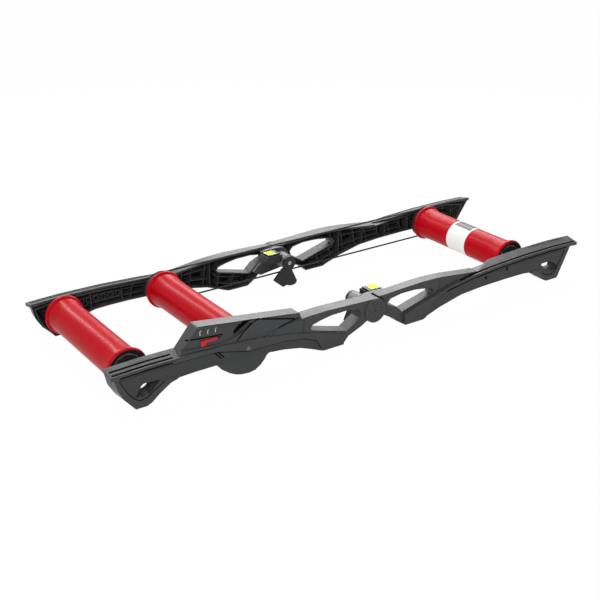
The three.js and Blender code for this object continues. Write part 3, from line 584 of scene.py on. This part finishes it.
def glossy_paint(name, colour, worn):
    """Gloss paint on a rolled tube: orange peel and faint rubbed rings round the axis."""
    finish = Finish(name, IOR=1.45, Specular_IOR_Level=0.07)
    mottle = finish.noise(8.0, 3.0)
    rings = finish.noise(26.0, 7.0, (0.5, 14.0, 0.5)).between(0.52, 0.8)
    peel = finish.noise(420.0, 2.0)
    base = finish.mix(mottle, shade(colour, 0.92), shade(colour, 1.06))
    base = finish.mix(rings * worn, base, shade(colour, 0.7))
    finish.set(Base_Color=base, Roughness=0.29 + (mottle - 0.5) * 0.05 + rings * worn * 0.2)
    finish.bump(peel, 0.05, 0.1 * MM)
    return finish.material


def bare_metal(name, colour, roughness, stretch):
    """Turned or plated metal: grain lines along one direction, with small stains."""
    finish = Finish(name, Metallic=1.0)
    lines = finish.noise(300.0, 5.0, stretch)
    stains = finish.noise(50.0, 4.0).between(0.5, 0.8)
    base = finish.mix(lines, shade(colour, 0.82), shade(colour, 1.12))
    base = finish.mix(stains * 0.3, base, shade(colour, 0.62))
    finish.set(Base_Color=base, Roughness=roughness + (lines - 0.5) * 0.2 + stains * 0.12)
    finish.bump(lines, 0.12, 0.06 * MM)
    return finish.material


def rubber_finish(name):
    """Matt rubber with a bloom and a fine skin."""
    finish = Finish(name)
    bloom = finish.noise(70.0, 5.0).between(0.45, 0.8)
    skin = finish.noise(1100.0, 3.0)
    base = finish.mix(bloom * 0.5, (0.012, 0.012, 0.012, 1.0), (0.035, 0.035, 0.034, 1.0))
    finish.set(Base_Color=base, Roughness=0.72 + bloom * 0.15)
    finish.bump(skin, 0.3, 0.15 * MM)
    return finish.material


def film(name, colour, roughness=0.3):
    """A printed plastic film: even colour with faint handling marks."""
    finish = Finish(name, Specular_IOR_Level=0.12)
    marks = finish.noise(45.0, 6.0, (1.0, 1.0, 3.0)).between(0.55, 0.85)
    skin = finish.noise(700.0, 2.0)
    base = finish.mix(marks * 0.3, shade(colour, 1.0), shade(colour, 0.8))
    finish.set(Base_Color=base, Roughness=roughness + marks * 0.15)
    finish.bump(skin, 0.08, 0.08 * MM)
    return finish.material


# Frame charcoal: strong dust with painted light on the tops, and painted shade in the sunk fields and inside
charcoal = moulded_plastic("charcoal_plastic", (0.042, 0.043, 0.045), 0.4, dust_and_light=0.7, painted_inside_shade=True)
black = moulded_plastic("black_plastic", (0.016, 0.016, 0.017), 0.4, 0.12, 0.15)
# Near-black for strips and slabs that stand for the shade in grooves, slots and recesses: painted shade
groove_black = moulded_plastic("groove_black", (0.0015, 0.0015, 0.0016), 0.8, 0.05, 0.0, gloss=0.02)
grey = moulded_plastic("grey_plastic", (0.16, 0.162, 0.165), 0.42, 0.1, 0.1)
red_paint = glossy_paint("red_drum_paint", (0.43, 0.002, 0.008), 0.25)
red_plastic = moulded_plastic("red_plastic", (0.5, 0.01, 0.014), 0.35, 0.08, 0.1)
steel = bare_metal("zinc_steel", (0.62, 0.62, 0.63), 0.34, (3.0, 0.2, 3.0))
dark_steel = bare_metal("blackened_steel", (0.14, 0.14, 0.15), 0.36, (3.0, 0.2, 3.0))
alloy = bare_metal("satin_alloy", (0.66, 0.66, 0.67), 0.42, (0.3, 6.0, 0.3))
nickel = bare_metal("nickel_magnets", (0.5, 0.5, 0.5), 0.3, (1.0, 1.0, 1.0))
rubber = rubber_finish("matt_rubber")
yellow = film("yellow_film", (0.7, 0.7, 0.004), 0.55)
white = film("white_film", (0.8, 0.8, 0.79))
dark_film = film("dark_film", (0.075, 0.075, 0.078), 0.25)
FINISHES = {
    "frame_plastic": charcoal, "black_plastic": black, "cap_plastic": black, "drum_paint": red_paint,
    "red_plastic": red_plastic, "steel": steel, "alloy": alloy, "magnet": nickel, "rubber": rubber,
}
slot_of = {p["node"]: p["material_slot"] for p in frame["record"]["subparts"]}
for node_name, node_object in nodes.items():
    for material_slot in node_object.material_slots:
        material_slot.link = "OBJECT"
        material_slot.material = FINISHES[slot_of[node_name]]

# Drums: a shell with a round bumper at each rim, a flare and a straight barrel

SHELL_HALF = 176.5 * MM
RIM_RADIUS = 50 * MM
BUMPER_MIDDLE = 170.5 * MM
BUMPER_HALF = 6 * MM
NECK_RADIUS = 45.2 * MM
BARREL_RADIUS = 42.5 * MM
FLARE_START = 122.5 * MM
SEAT_RADIUS = 46.5 * MM
SEAT_DEPTH = 169 * MM
BORE_RADIUS = 39 * MM
BUMPER_TURN = (math.radians(20), math.radians(160))
SHELL_SIDES = 160
CAP_SIDES = 128
RING_SIDES = 96


def drum_outline():
    """Half of the shell's outer line: a cosine flare from barrel to neck, then the round bumper."""
    flare = np.linspace(0, 1, 25)
    neck = BUMPER_MIDDLE - BUMPER_HALF
    flare_line = np.stack([
        BARREL_RADIUS + (NECK_RADIUS - BARREL_RADIUS) * (1 - np.cos(np.pi / 2 * flare)),
        FLARE_START + (neck - FLARE_START) * flare], -1)
    round_ = np.linspace(*BUMPER_TURN, 17)
    bumper = np.stack([
        NECK_RADIUS + (RIM_RADIUS - NECK_RADIUS) * np.sin(round_),
        BUMPER_MIDDLE - BUMPER_HALF * np.cos(round_)], -1)
    return np.concatenate([flare_line, bumper])


half_line = drum_outline()
mirrored = half_line[::-1] * np.array([1, -1])
inner_line = np.array([
    (SEAT_RADIUS, SHELL_HALF), (SEAT_RADIUS, SEAT_DEPTH), (BORE_RADIUS, SEAT_DEPTH),
    (BORE_RADIUS, -SEAT_DEPTH), (SEAT_RADIUS, -SEAT_DEPTH), (SEAT_RADIUS, -SHELL_HALF)])
barrel = np.stack([np.full(23, BARREL_RADIUS), np.linspace(-FLARE_START, FLARE_START, 25)[1:-1]], -1)
shell_profile = np.concatenate([mirrored, barrel, half_line, inner_line])

# Caps as (radius, y): a hub seat, two low rings and an outer lip round a recessed face, then two steel rings
CAP_RINGS = (
    (11.3, 166.7), (11.3, 174.0), (15.5, 174.0), (16.0, 173.4), (16.3, 171.6), (22.4, 171.6),
    (22.8, 172.6), (25.2, 172.6), (25.6, 171.6), (33.0, 171.6), (33.4, 173.0), (36.0, 173.0),
    (36.4, 172.0), (42.0, 172.0), (42.6, 174.0), (46.2, 174.0), (46.2, 169.3), (16.0, 169.3),
    (16.0, 162.0), (7.0, 162.0), (7.0, 166.7),
)
STEEL_RINGS = {"washer": (12.0, 173.9, 15.2, 174.4), "cap_ring": (32.6, 172.9, 35.4, 173.4)}
for drum, axis in DRUMS.items():
    shell = lathe(f"{drum}_drum_tube", shell_profile, axis, red_paint, body_of[f"{drum}_drum_shell"],
                  SHELL_SIDES)
    stands_for(shell, f"{drum}_drum_shell")
    finer(f"{drum}_axle", axis, steel)
    for side, sign in SIDES.items():
        finer(f"{drum}_drum_{side}_bearing", axis, steel)
        if drum != "rear" and side == "far":
            finer(f"{drum}_drum_{side}_cap", axis, black, 0.8 * MM, 3, CAP_SIDES)
        else:
            rings = np.array(CAP_RINGS) * MM * np.array([1, sign])
            cap = lathe(f"{drum}_drum_{side}_ringed_cap", eased(rings, 0.3 * MM, 2), axis, black,
                        body_of[f"{drum}_drum_{side}_cap"], CAP_SIDES)
            stands_for(cap, f"{drum}_drum_{side}_cap")
            for ring_name, corners in STEEL_RINGS.items():
                section = np.array(rectangle(*corners)) * MM * np.array([1, sign])
                ring = lathe(f"{drum}_drum_{side}_{ring_name}", eased(section, 0.15 * MM, 2), axis, steel,
                             body_of[f"{drum}_drum_{side}_cap"], RING_SIDES)

# Plain film on the front drum: a white wrap round the barrel and a dark panel over part of it

WRAP_HALF = 37.5 * MM
WRAP_LIFT = 0.25 * MM
PANEL_HALF = 32 * MM
PANEL_START = math.radians(-24)
PANEL_TURN = math.radians(76)
wrap = rectangle(BARREL_RADIUS - WRAP_LIFT, -WRAP_HALF, BARREL_RADIUS + WRAP_LIFT, WRAP_HALF)
made = lathe("front_drum_wrap", eased(wrap, 0.1 * MM, 1), DRUMS["front"], white,
             body_of["front_drum_shell"], SHELL_SIDES)
panel = rectangle(BARREL_RADIUS, -PANEL_HALF, BARREL_RADIUS + 2 * WRAP_LIFT, PANEL_HALF)
points, faces = lathe_grid(panel, DRUMS["front"], 40, True, PANEL_START, PANEL_TURN)
made = piece("front_drum_panel", points, faces, dark_film, body_of["front_drum_shell"])

# Other turned pieces

DISC_RINGS = (
    (2.5, 237.0), (2.5, 239.2), (5.0, 239.2), (5.4, 240.0), (9.2, 240.0), (9.6, 239.1), (10.8, 239.1),
    (11.2, 240.0), (15.8, 240.0), (16.2, 239.1), (17.4, 239.1), (17.8, 240.0), (22.2, 240.0),
    (23.0, 239.3), (23.0, 237.0),
)
for side, sign in SIDES.items():
    finer(f"{side}_hinge_pin", HINGE, steel)
    disc = np.array(DISC_RINGS) * MM * np.array([1, sign])
    made = lathe(f"{side}_hinge_ringed_disc", eased(disc, 0.25 * MM, 2), HINGE, charcoal,
                 body_of[f"{side}_hinge_disc"], RING_SIDES)
    stands_for(made, f"{side}_hinge_disc")
    finer(f"{side}_hinge_sleeve", HINGE, grey, 1.2 * MM, 4)
    finer(f"middle_axle_{side}_screw", DRUMS["middle"], dark_steel)
finer("brake_rotor", DRUMS["middle"], alloy)
finer("brake_inner_cover", DRUMS["middle"], black)

# Drive belt: a round cord in a closed loop of two straight strands and two half turns

BELT_Y = 185 * MM
BELT_TURN = 42 * MM
BELT_RADIUS = 2.25 * MM
STRAND_POINTS = 181
rear_x, front_x = DRUMS["middle"][0], DRUMS["front"][0]
axle_z = DRUMS["front"][1]
straight = np.linspace(rear_x, front_x, STRAND_POINTS)
half_turn = np.linspace(np.pi / 2, -np.pi / 2, 41)[1:-1]
loop = np.concatenate([
    np.stack([straight, np.full(STRAND_POINTS, axle_z + BELT_TURN)], -1),
    np.stack([front_x + BELT_TURN * np.cos(half_turn), axle_z + BELT_TURN * np.sin(half_turn)], -1),
    np.stack([straight[::-1], np.full(STRAND_POINTS, axle_z - BELT_TURN)], -1),
    np.stack([rear_x - BELT_TURN * np.cos(half_turn), axle_z - BELT_TURN * np.sin(half_turn)], -1),
])
around = np.linspace(0, 2 * np.pi, 14, endpoint=False)
belt_section = np.stack([BELT_RADIUS * np.cos(around), BELT_Y + BELT_RADIUS * np.sin(around)], -1)
points, faces = carried(loop, belt_section, True)
belt = piece("round_drive_belt", points, faces, rubber, None, 60)
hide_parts("drive_belt")
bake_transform(belt)


# Frames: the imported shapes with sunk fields, grooves along the flanges and ribs inside

def scaled(shares, half):
    """Shares of the half length and the height as places in X and Z on one half."""
    return np.asarray(shares, float) * np.array([HALVES[half] * HALF_LENGTH, TOP])


def top_line(half, depth, start, end, count=40):
    """The top of the flange from one share of the length to another, at a depth from the outer face."""
    along = np.linspace(start, end, count)
    ridge = np.array(RIDGE_SHARES)
    height = np.interp(along, ridge[:, 0], ridge[:, 1]) * TOP + SLOPE * depth / DEPTH
    return np.stack([HALVES[half] * along * HALF_LENGTH, height], -1)


def top_bar(half, side, depth, start, end, bottom, top):
    """A bar along the flange's top, between two heights from its surface."""
    y = SIDES[side] * (HALF_WIDTH - depth)
    reach = TOP_GROOVE_WIDTH / 2
    forward = HALVES[half]
    return carried(top_line(half, depth, start, end),
                   rectangle(bottom * forward, y - reach, top * forward, y + reach))


def top_groove(half, side, depth, start):
    """A tool for a groove along the flange's top."""
    return top_bar(half, side, depth, start, TOP_GROOVE_END, -GROOVE_DEPTH, PAST)


def painted_top_shade_line(half, side, depth, start):
    """A dark strip in that groove, as painted shade."""
    return top_bar(half, side, depth, start, TOP_LINE_END, -GROOVE_DEPTH - LINE_ROOT, -LINE_TOP)


def side_bar(path, side, width, inner, outer):
    """A bar along a path on an outer face, between two distances from the middle plane."""
    sign = SIDES[side]
    return carried(path, rectangle(-width / 2, sign * inner, width / 2, sign * outer))


def side_groove(path, side, face=HALF_WIDTH, deep=GROOVE_DEPTH):
    """A tool for a groove along a path on an outer face."""
    return side_bar(path, side, GROOVE_WIDTH, face - deep, face + PAST)


def painted_shade_line(path, side, face, width=GROOVE_WIDTH):
    """A dark strip in such a groove, as painted shade."""
    return side_bar(path, side, width, face - GROOVE_DEPTH - LINE_ROOT, face - LINE_TOP)


def lip_line(half):
    """The line under the lip of the flange on the outer face."""
    return top_line(half, 0, *LIP_SPANS[half]) - np.array([0, LIP_DROP])


def carving(side, half):
    """The tools for one frame: its sunk field, the flange's grooves and the outer ends of the arm's ribs."""
    sign = SIDES[side]
    low, high = sorted((sign * (HALF_WIDTH - FIELD_DEPTH), sign * (HALF_WIDTH + PAST)))
    tools = [
        slab(eased(scaled(FIELD_SHARES[half], half), FIELD_CORNER, 3), low, high),
        side_groove(lip_line(half), side),
    ]
    tools += [top_groove(half, side, *groove) for groove in TOP_GROOVES[side, half]]
    if (side, half) == ("near", "rear"):
        tools += [side_groove(np.array(line) * MM, side, HALF_WIDTH - FIELD_DEPTH, NOTCH_DEPTH)
                  for line in NOTCHES]
    set_back = NOSED_INSET if (side == "near") == (half == "rear") else POCKET_INSET
    low, high = sorted((sign * (HALF_WIDTH - set_back - RIB_CLEARANCE), sign * (HALF_WIDTH + PAST)))
    ridge, arm = np.array(RIDGE_SHARES), np.array(ARM_SHARES)
    for share in RIB_PLACES:
        x = HALVES[half] * share * HALF_LENGTH
        bottom = np.interp(share, ridge[:, 0], ridge[:, 1]) * TOP + SLOPE * set_back / DEPTH
        top = np.interp(share, arm[:, 0], arm[:, 1]) * TOP - ARM_UNDER
        tools.append(block((x - RIB_HALF, low, bottom), (x + RIB_HALF, high, top)))
    return tools


def painted_groove_shade(side, half):
    """The painted shade of one frame: dark strips under the lip, round the sunk field, in the notches and
    grooves, and dark patches for the slots.
    """
    outline = FIELD_SHARES[half]
    border = scaled(outline[FIELD_EDGE_START[half]:] + outline[:1], half)
    field_face = HALF_WIDTH - FIELD_DEPTH
    lines = [
        painted_shade_line(lip_line(half), side, HALF_WIDTH),
        painted_shade_line(eased(border, FIELD_CORNER, 3, False), side, FIELD_LINE_FACE, FIELD_LINE_WIDTH),
    ]
    if (side, half) == ("near", "rear"):
        lines += [painted_shade_line(np.array(line) * MM, side, field_face, NOTCH_WIDTH) for line in NOTCHES]
    if half == "front":
        low, high = sorted((SIDES[side] * (field_face - SLOT_ROOT), SIDES[side] * (field_face + LINE_TOP)))
        for place in PAINTED_SLOT_SHADES:
            x, z, reach, rise = np.array(place) * MM
            lines.append(block((x - reach, low, z - rise), (x + reach, high, z + rise)))
    lines += [painted_top_shade_line(half, side, *groove) for groove in TOP_GROOVES[side, half]]
    return together(lines)


def end_wall(side, half):
    """The wall that closes a frame's end and leans outwards from the web to the open side."""
    z, outer_x, inner_x = (np.array(END_WALLS[half]) * MM).T
    inner_z = z + SLOPE * z / TOP
    outer_y = np.full(len(z), HALF_WIDTH - END_WALL_ROOT)
    inner_y = np.full(len(z), HALF_WIDTH - DEPTH)
    corners = [(outer_x, outer_y, z), (inner_x, inner_y, inner_z),
               (inner_x - END_WALL, inner_y, inner_z), (outer_x - END_WALL, outer_y, z)]
    wall = np.array(corners).transpose(2, 0, 1) * np.array([HALVES[half], SIDES[side], 1])
    last = 4 * (len(z) - 1)
    ends = [list(range(4)), list(range(last, last + 4))]
    return wall, grid_faces(len(z), 4, False, True).tolist() + ends


for half in HALVES:
    for side in SIDES:
        moulded_copy(f"{side}_{half}_frame", charcoal, EDGE_WIDTH, carving(side, half))
for side in SIDES:
    for part in ("hinge_foot", "lock_housing", "lock_button"):
        moulded_copy(f"{side}_{part}", black, EDGE_WIDTH)
moulded_copy("brake_cover", charcoal, EDGE_WIDTH)
hood_tools = [slab(np.array(HOOD_CORNER) * MM, -HOOD_FACE - PAST, -HOOD_FACE + HOOD_CORNER_DEPTH)]
# Grooves on the hood, each with a dark strip in it as painted shade
hood_painted_shade = []
for line, face in [(line, HOOD_FACE) for line in HOOD_LINES] + [(PANEL_LINE, PANEL_FACE)]:
    path = flowing(np.array(line) * MM)
    hood_tools.append(side_groove(path, "near", face))
    hood_painted_shade.append(painted_shade_line(path, "near", face))
moulded_copy("brake_hood", charcoal, HOOD_EDGE_WIDTH, hood_tools)
moulded_copy("resistance_slider", red_plastic, SLIDER_EDGE_WIDTH)

# Painted shade in the grooves and slots of each frame, and its end walls
for half in HALVES:
    for side in SIDES:
        body = body_of[f"{side}_{half}_frame"]
        made = piece(f"{side}_{half}_painted_groove_shade", *painted_groove_shade(side, half), groove_black, body)
        made = piece(f"{side}_{half}_end_wall", *end_wall(side, half), charcoal, body)

# A dark slab in the hood's sunk corner and dark strips in its grooves, as painted shade
floor_y = -HOOD_FACE + HOOD_CORNER_DEPTH
hood_painted_shade.append(slab(np.array(HOOD_CORNER_SHADE) * MM, floor_y - HOOD_FLOOR_LIFT, floor_y + LINE_ROOT))
made = piece("hood_groove_floors", *together(hood_painted_shade), groove_black, body_of["brake_hood"])

# Ribs inside the frames, behind the web wherever a bay is free, and a row of rings in the rear ones

RIB_TEST = 20 * MM
RIB_INSIDE = 31 * MM
RIB_THICKNESS = 1.4 * MM
RIB_ROOT = 0.5 * MM
RIB_OVERLAP = 0.4 * MM
RIB_JUMP = 6 * MM
RIB_LEAN = 5 * MM
RIB_STATIONS = np.arange(0.165, 0.962, 0.008) * HALF_LENGTH
LONG_SHARES = (0.3, 0.74)
CROSS_START = 0.2 * HALF_LENGTH
CROSS_END = 0.955 * HALF_LENGTH
CROSS_PITCH = 21.4 * MM
BAY_LEAST = 9 * MM
WEB_DEEPEST = 14 * MM
WALL_SHARES = (0.06, 0.28, 0.5, 0.72, 0.94)
BRAKE_HALF = 60 * MM
RINGS_FROM = 470 * MM
RINGS_TO = 610 * MM
RING_RADIUS = 8 * MM
RING_WALL = 1.5 * MM
RING_ROOT = 2.5 * MM
RING_START = -600 * MM
RING_PITCH = 20 * MM
RING_COUNT = 7
RING_HEIGHT = 72 * MM
RIB_SHARP = 30
SPAN_START = -20 * MM
SPAN_STEP = 0.02 * MM
MOST_CROSSINGS = 16


def solid_spans(tree, x, y):
    """The heights at which a vertical line through (x, y) enters or leaves the shell, from below."""
    found, z = [], SPAN_START
    while len(found) < MOST_CROSSINGS:
        hit = tree.ray_cast(Vector((x, y, z)), Vector((0, 0, 1)))[0]
        if hit is None:
            break
        found.append(hit.z)
        z = hit.z + SPAN_STEP
    return found


def bays(tree, x, side):
    """The free spans in front of the web on a vertical line: each is (low, high, the web's nearest face)."""
    sign = SIDES[side]
    y = sign * (HALF_WIDTH - RIB_TEST)
    heights = solid_spans(tree, x, y)
    spans = []
    for low, high in zip(heights[1::2], heights[2::2]):
        if high - low < BAY_LEAST:
            continue
        walls = [tree.ray_cast(Vector((x, y, low + share * (high - low))), Vector((0, sign, 0)))[0]
                 for share in WALL_SHARES]
        if all(wall is not None and abs(wall.y) > HALF_WIDTH - WEB_DEEPEST for wall in walls):
            spans.append((low, high, min(abs(wall.y) for wall in walls)))
    return spans


def plate(path, side, web):
    """A thin rib along a path, from inside the web to the ribs' common edge."""
    return side_bar(path, side, RIB_THICKNESS, web + RIB_ROOT, HALF_WIDTH - RIB_INSIDE)


def behind_brake(side, half, along):
    """Whether the brake's housing takes the place of the ribs here."""
    return (side, half) == ("near", "rear") and abs(along + DRUMS["middle"][0]) < BRAKE_HALF


def long_ribs(tree, side, half):
    """Ribs that run along the bays at set shares of their height, broken where the height jumps."""
    rows = []
    for station in RIB_STATIONS:
        found = [] if behind_brake(side, half, station) else bays(tree, HALVES[half] * station, side)
        widest = max(found, key=lambda span: span[1] - span[0]) if found else None
        rows.append((HALVES[half] * station, widest))
    parts = []
    for share in LONG_SHARES:
        line, webs = [], []
        for x, span in rows + [(0, None)]:
            height = None if span is None else span[0] + share * (span[1] - span[0])
            if line and (height is None or abs(height - line[-1][1]) > RIB_JUMP):
                if len(line) > 4:
                    parts.append(plate(line, side, min(webs)))
                line, webs = [], []
            if height is not None:
                line.append((x, height))
                webs.append(span[2])
    return parts


def cross_ribs(tree, side, half):
    """Ribs from the bottom of a bay to its top, which lean to either side by turns."""
    forward = HALVES[half]
    parts = []
    along = CROSS_START
    while along < CROSS_END:
        ringed = half == "rear" and RINGS_FROM < along < RINGS_TO
        free = not ringed and not behind_brake(side, half, along)
        for low, high, web in bays(tree, forward * along, side) if free else []:
            lean = RIB_LEAN if int(along / CROSS_PITCH) % 2 else -RIB_LEAN
            line = [(forward * (along - lean), low - RIB_OVERLAP),
                    (forward * (along + lean), high + RIB_OVERLAP)]
            parts.append(plate(line, side, web))
        along += 2 * CROSS_PITCH
    return parts


def rings(side):
    """A row of short tubes between the long ribs of a rear frame."""
    sign = SIDES[side]
    low, high = sorted((sign * (HALF_WIDTH - RING_ROOT), sign * (HALF_WIDTH - RIB_INSIDE)))
    tube = rectangle(RING_RADIUS - RING_WALL, low, RING_RADIUS, high)
    places = [(RING_START + number * RING_PITCH, RING_HEIGHT) for number in range(RING_COUNT)]
    return [lathe_grid(tube, place, 24) for place in places]


for half in HALVES:
    for side in SIDES:
        work = merged_copy(f"{side}_{half}_frame")
        tree = BVHTree.FromBMesh(work)
        work.free()
        parts = long_ribs(tree, side, half) + cross_ribs(tree, side, half)
        if half == "rear":
            parts += rings(side)
        body = body_of[f"{side}_{half}_frame"]
        made = piece(f"{side}_{half}_inner_ribs", *together(parts), charcoal, body, RIB_SHARP)

# Small pieces on the hood, the locks and the grip of the front flange

TICKS = ((-490, 130.5, 141.5), (-470, 129.0, 139.5), (-450.5, 128.0, 138.5))
TICK_WIDTH = 1.3 * MM
TICK_FOOT = 3.2 * MM
TICK_LIFT = 0.25 * MM
marks = []
for x, low, high in np.array(TICKS) * MM:
    left = x - TICK_WIDTH / 2
    for right, bottom in ((x + TICK_WIDTH / 2, low), (x + TICK_FOOT, high - TICK_WIDTH)):
        marks.append(block((left, -PANEL_FACE - TICK_LIFT, bottom), (right, -PANEL_FACE + TICK_LIFT, high)))
made = piece("hood_level_marks", *together(marks), white, body_of["brake_hood"])

PATCH_LIFT = 0.3 * MM
PATCH_MARGIN = 2.5 * MM
PATCH_RIM = 0.8 * MM
PATCH_SHARES = (0.42, 0.9)
for side, sign in SIDES.items():
    low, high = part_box(f"{side}_lock_button")
    reach = (high.x - low.x) / 2
    middle = (low.x + high.x) / 2
    left, right = sorted((middle + sign * reach * PATCH_SHARES[0], middle - sign * reach * PATCH_SHARES[1]))
    front, back = low.y + PATCH_MARGIN, high.y - PATCH_MARGIN
    outline = eased(rectangle(left, front, right, back), 1.5 * MM, 3)
    inner = rectangle(left + PATCH_RIM, front + PATCH_RIM, right - PATCH_RIM, back - PATCH_RIM)
    inside = eased(inner, 1.2 * MM, 3)
    for name, edge, bottom, top, finish, slot in (
            ("lock_patch_rim", outline, -PATCH_LIFT, PATCH_LIFT, steel, "steel"),
            ("lock_patch", inside, 0, 2 * PATCH_LIFT, yellow, "black_plastic")):
        points, faces = slab(edge, high.z + bottom, high.z + top)
        made = piece(f"{side}_{name}", points[..., [0, 2, 1]], faces, finish, body_of[f"{side}_lock_button"])

BUMP_RADIUS = 2.4 * MM
BUMP_LIFT = 1.6 * MM
BUMP_ROOT = 0.3 * MM
BUMP_ROWS = (31 * MM, 35 * MM)
BUMP_START = 0.775
BUMP_END = 0.955
BUMPS_IN_ROW = 18
BUMP_SIDES = 10


def bump(x, y, z):
    """A low dome that starts just below the surface."""
    rise = np.linspace(0, np.pi / 2, 4)
    turn = np.linspace(0, 2 * np.pi, BUMP_SIDES, endpoint=False)[:, None]
    radius = BUMP_RADIUS * np.cos(rise)
    height = z - BUMP_ROOT + BUMP_LIFT * np.sin(rise)
    grid = np.stack(np.broadcast_arrays(x + radius * np.cos(turn), y + radius * np.sin(turn), height), -1)
    foot = list(range(0, BUMP_SIDES * len(rise), len(rise)))
    return grid, grid_faces(BUMP_SIDES, len(rise), True, False).tolist() + [foot]


for side, sign in SIDES.items():
    bumps = [
        bump(x, sign * (HALF_WIDTH - depth), z)
        for depth in BUMP_ROWS
        for x, z in top_line("front", depth, BUMP_START, BUMP_END, BUMPS_IN_ROW)]
    made = piece(f"{side}_front_grip_bumps", *together(bumps), black, body_of[f"{side}_front_frame"])

# Stage

def area_lamp(name, place, target, size, power):
    """A lamp that shines from a place at a target and isn't seen itself."""
    lamp = bpy.data.lights.new(name, "AREA")
    lamp.shape = "RECTANGLE"
    lamp.size, lamp.size_y = size
    lamp.energy = power
    made = bpy.data.objects.new(name, lamp)
    made.matrix_world = Matrix.Translation(place) @ (Vector(place) - Vector(target)).to_track_quat(
        "Z", "Y").to_matrix().to_4x4()
    made.visible_camera = False
    bpy.context.scene.collection.objects.link(made)


SKY_LIGHT = 0.34
SKY_SEEN = 0.68
world = bpy.data.worlds.new("studio")
world.use_nodes = True
bpy.context.scene.world = world
sky = Shading(world.node_tree)
sky_shader = world.node_tree.nodes["Background"]
sky.put((1, 1, 1, 1), sky_shader.inputs["Color"])
sky.put(sky.backdrop() * SKY_SEEN + SKY_LIGHT, sky_shader.inputs["Strength"])

FLOOR_SIZE = 16.0
FLOOR_GLOW = 0.985
FLOOR_GAP = 0.1 * MM
corner = FLOOR_SIZE / 2
floor_mesh = bpy.data.meshes.new("floor")
floor_mesh.from_pydata(
    [(x, y, 0) for x, y in rectangle(-corner, -corner, corner, corner)], [], [(0, 1, 2, 3)])
floor = bpy.data.objects.new("floor", floor_mesh)
floor.location.z = -FLOOR_GAP
bpy.context.scene.collection.objects.link(floor)
floor_finish = Finish("pale_floor", Base_Color=(0.85, 0.85, 0.85, 1), Roughness=0.9)
glow = floor_finish.node("ShaderNodeEmission", {}, {"Strength": 1.0})
lit = Signal(floor_finish, floor_finish.shader.outputs[0])
mixed = floor_finish.node("ShaderNodeMixShader", {}, (floor_finish.backdrop() * FLOOR_GLOW, lit, glow))
floor_finish.put(mixed, floor_finish.tree.nodes["Material Output"].inputs["Surface"])
floor_mesh.materials.append(floor_finish.material)
floor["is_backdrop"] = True

area_lamp("top_light", (-0.4, 0.2, 2.2), (0, 0, 0), (2.4, 1.6), 21)
area_lamp("side_light", (-1.8, -1.6, 1.2), (0, 0, 0), (0.9, 0.9), 24)
area_lamp("back_light", (1.2, 1.45, 1.35), (0, 0, 0.05), (1.6, 1.2), 44)
area_lamp("drum_light", (-0.5, 1.9, 1.6), (0, 0, 0.05), (0.2, 1.8), 27)

# The photograph's camera, as it was fitted to it: angles in degrees, a focal length in pixels

FOCAL_PIXELS = 1080.6
PICTURE_PIXELS = 600
azimuth, elevation, roll = (math.radians(v) for v in (-34.52, 24.03, -0.03))
distance, aim_x, aim_up = 2.8381, -0.0619, 0.0214
back = Vector((
    math.sin(azimuth) * math.cos(elevation), -math.cos(azimuth) * math.cos(elevation), math.sin(elevation)))
level = Vector((math.cos(azimuth), math.sin(azimuth), 0))
upright = back.cross(level)
right = math.cos(roll) * level + math.sin(roll) * upright
up = math.cos(roll) * upright - math.sin(roll) * level
eye = Vector((aim_x, 0, 0)) + aim_up * up + distance * back
camera_data = bpy.data.cameras.new("camera")
camera_data.lens = FOCAL_PIXELS / PICTURE_PIXELS * camera_data.sensor_width
camera = bpy.data.objects.new("camera", camera_data)
camera.matrix_world = Matrix((
    (right.x, up.x, back.x, eye.x),
    (right.y, up.y, back.y, eye.y),
    (right.z, up.z, back.z, eye.z),
    (0, 0, 0, 1)))
bpy.context.scene.collection.objects.link(camera)
bpy.context.scene.camera = camera
bpy.context.scene.view_settings.view_transform = "Standard"

low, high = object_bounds()
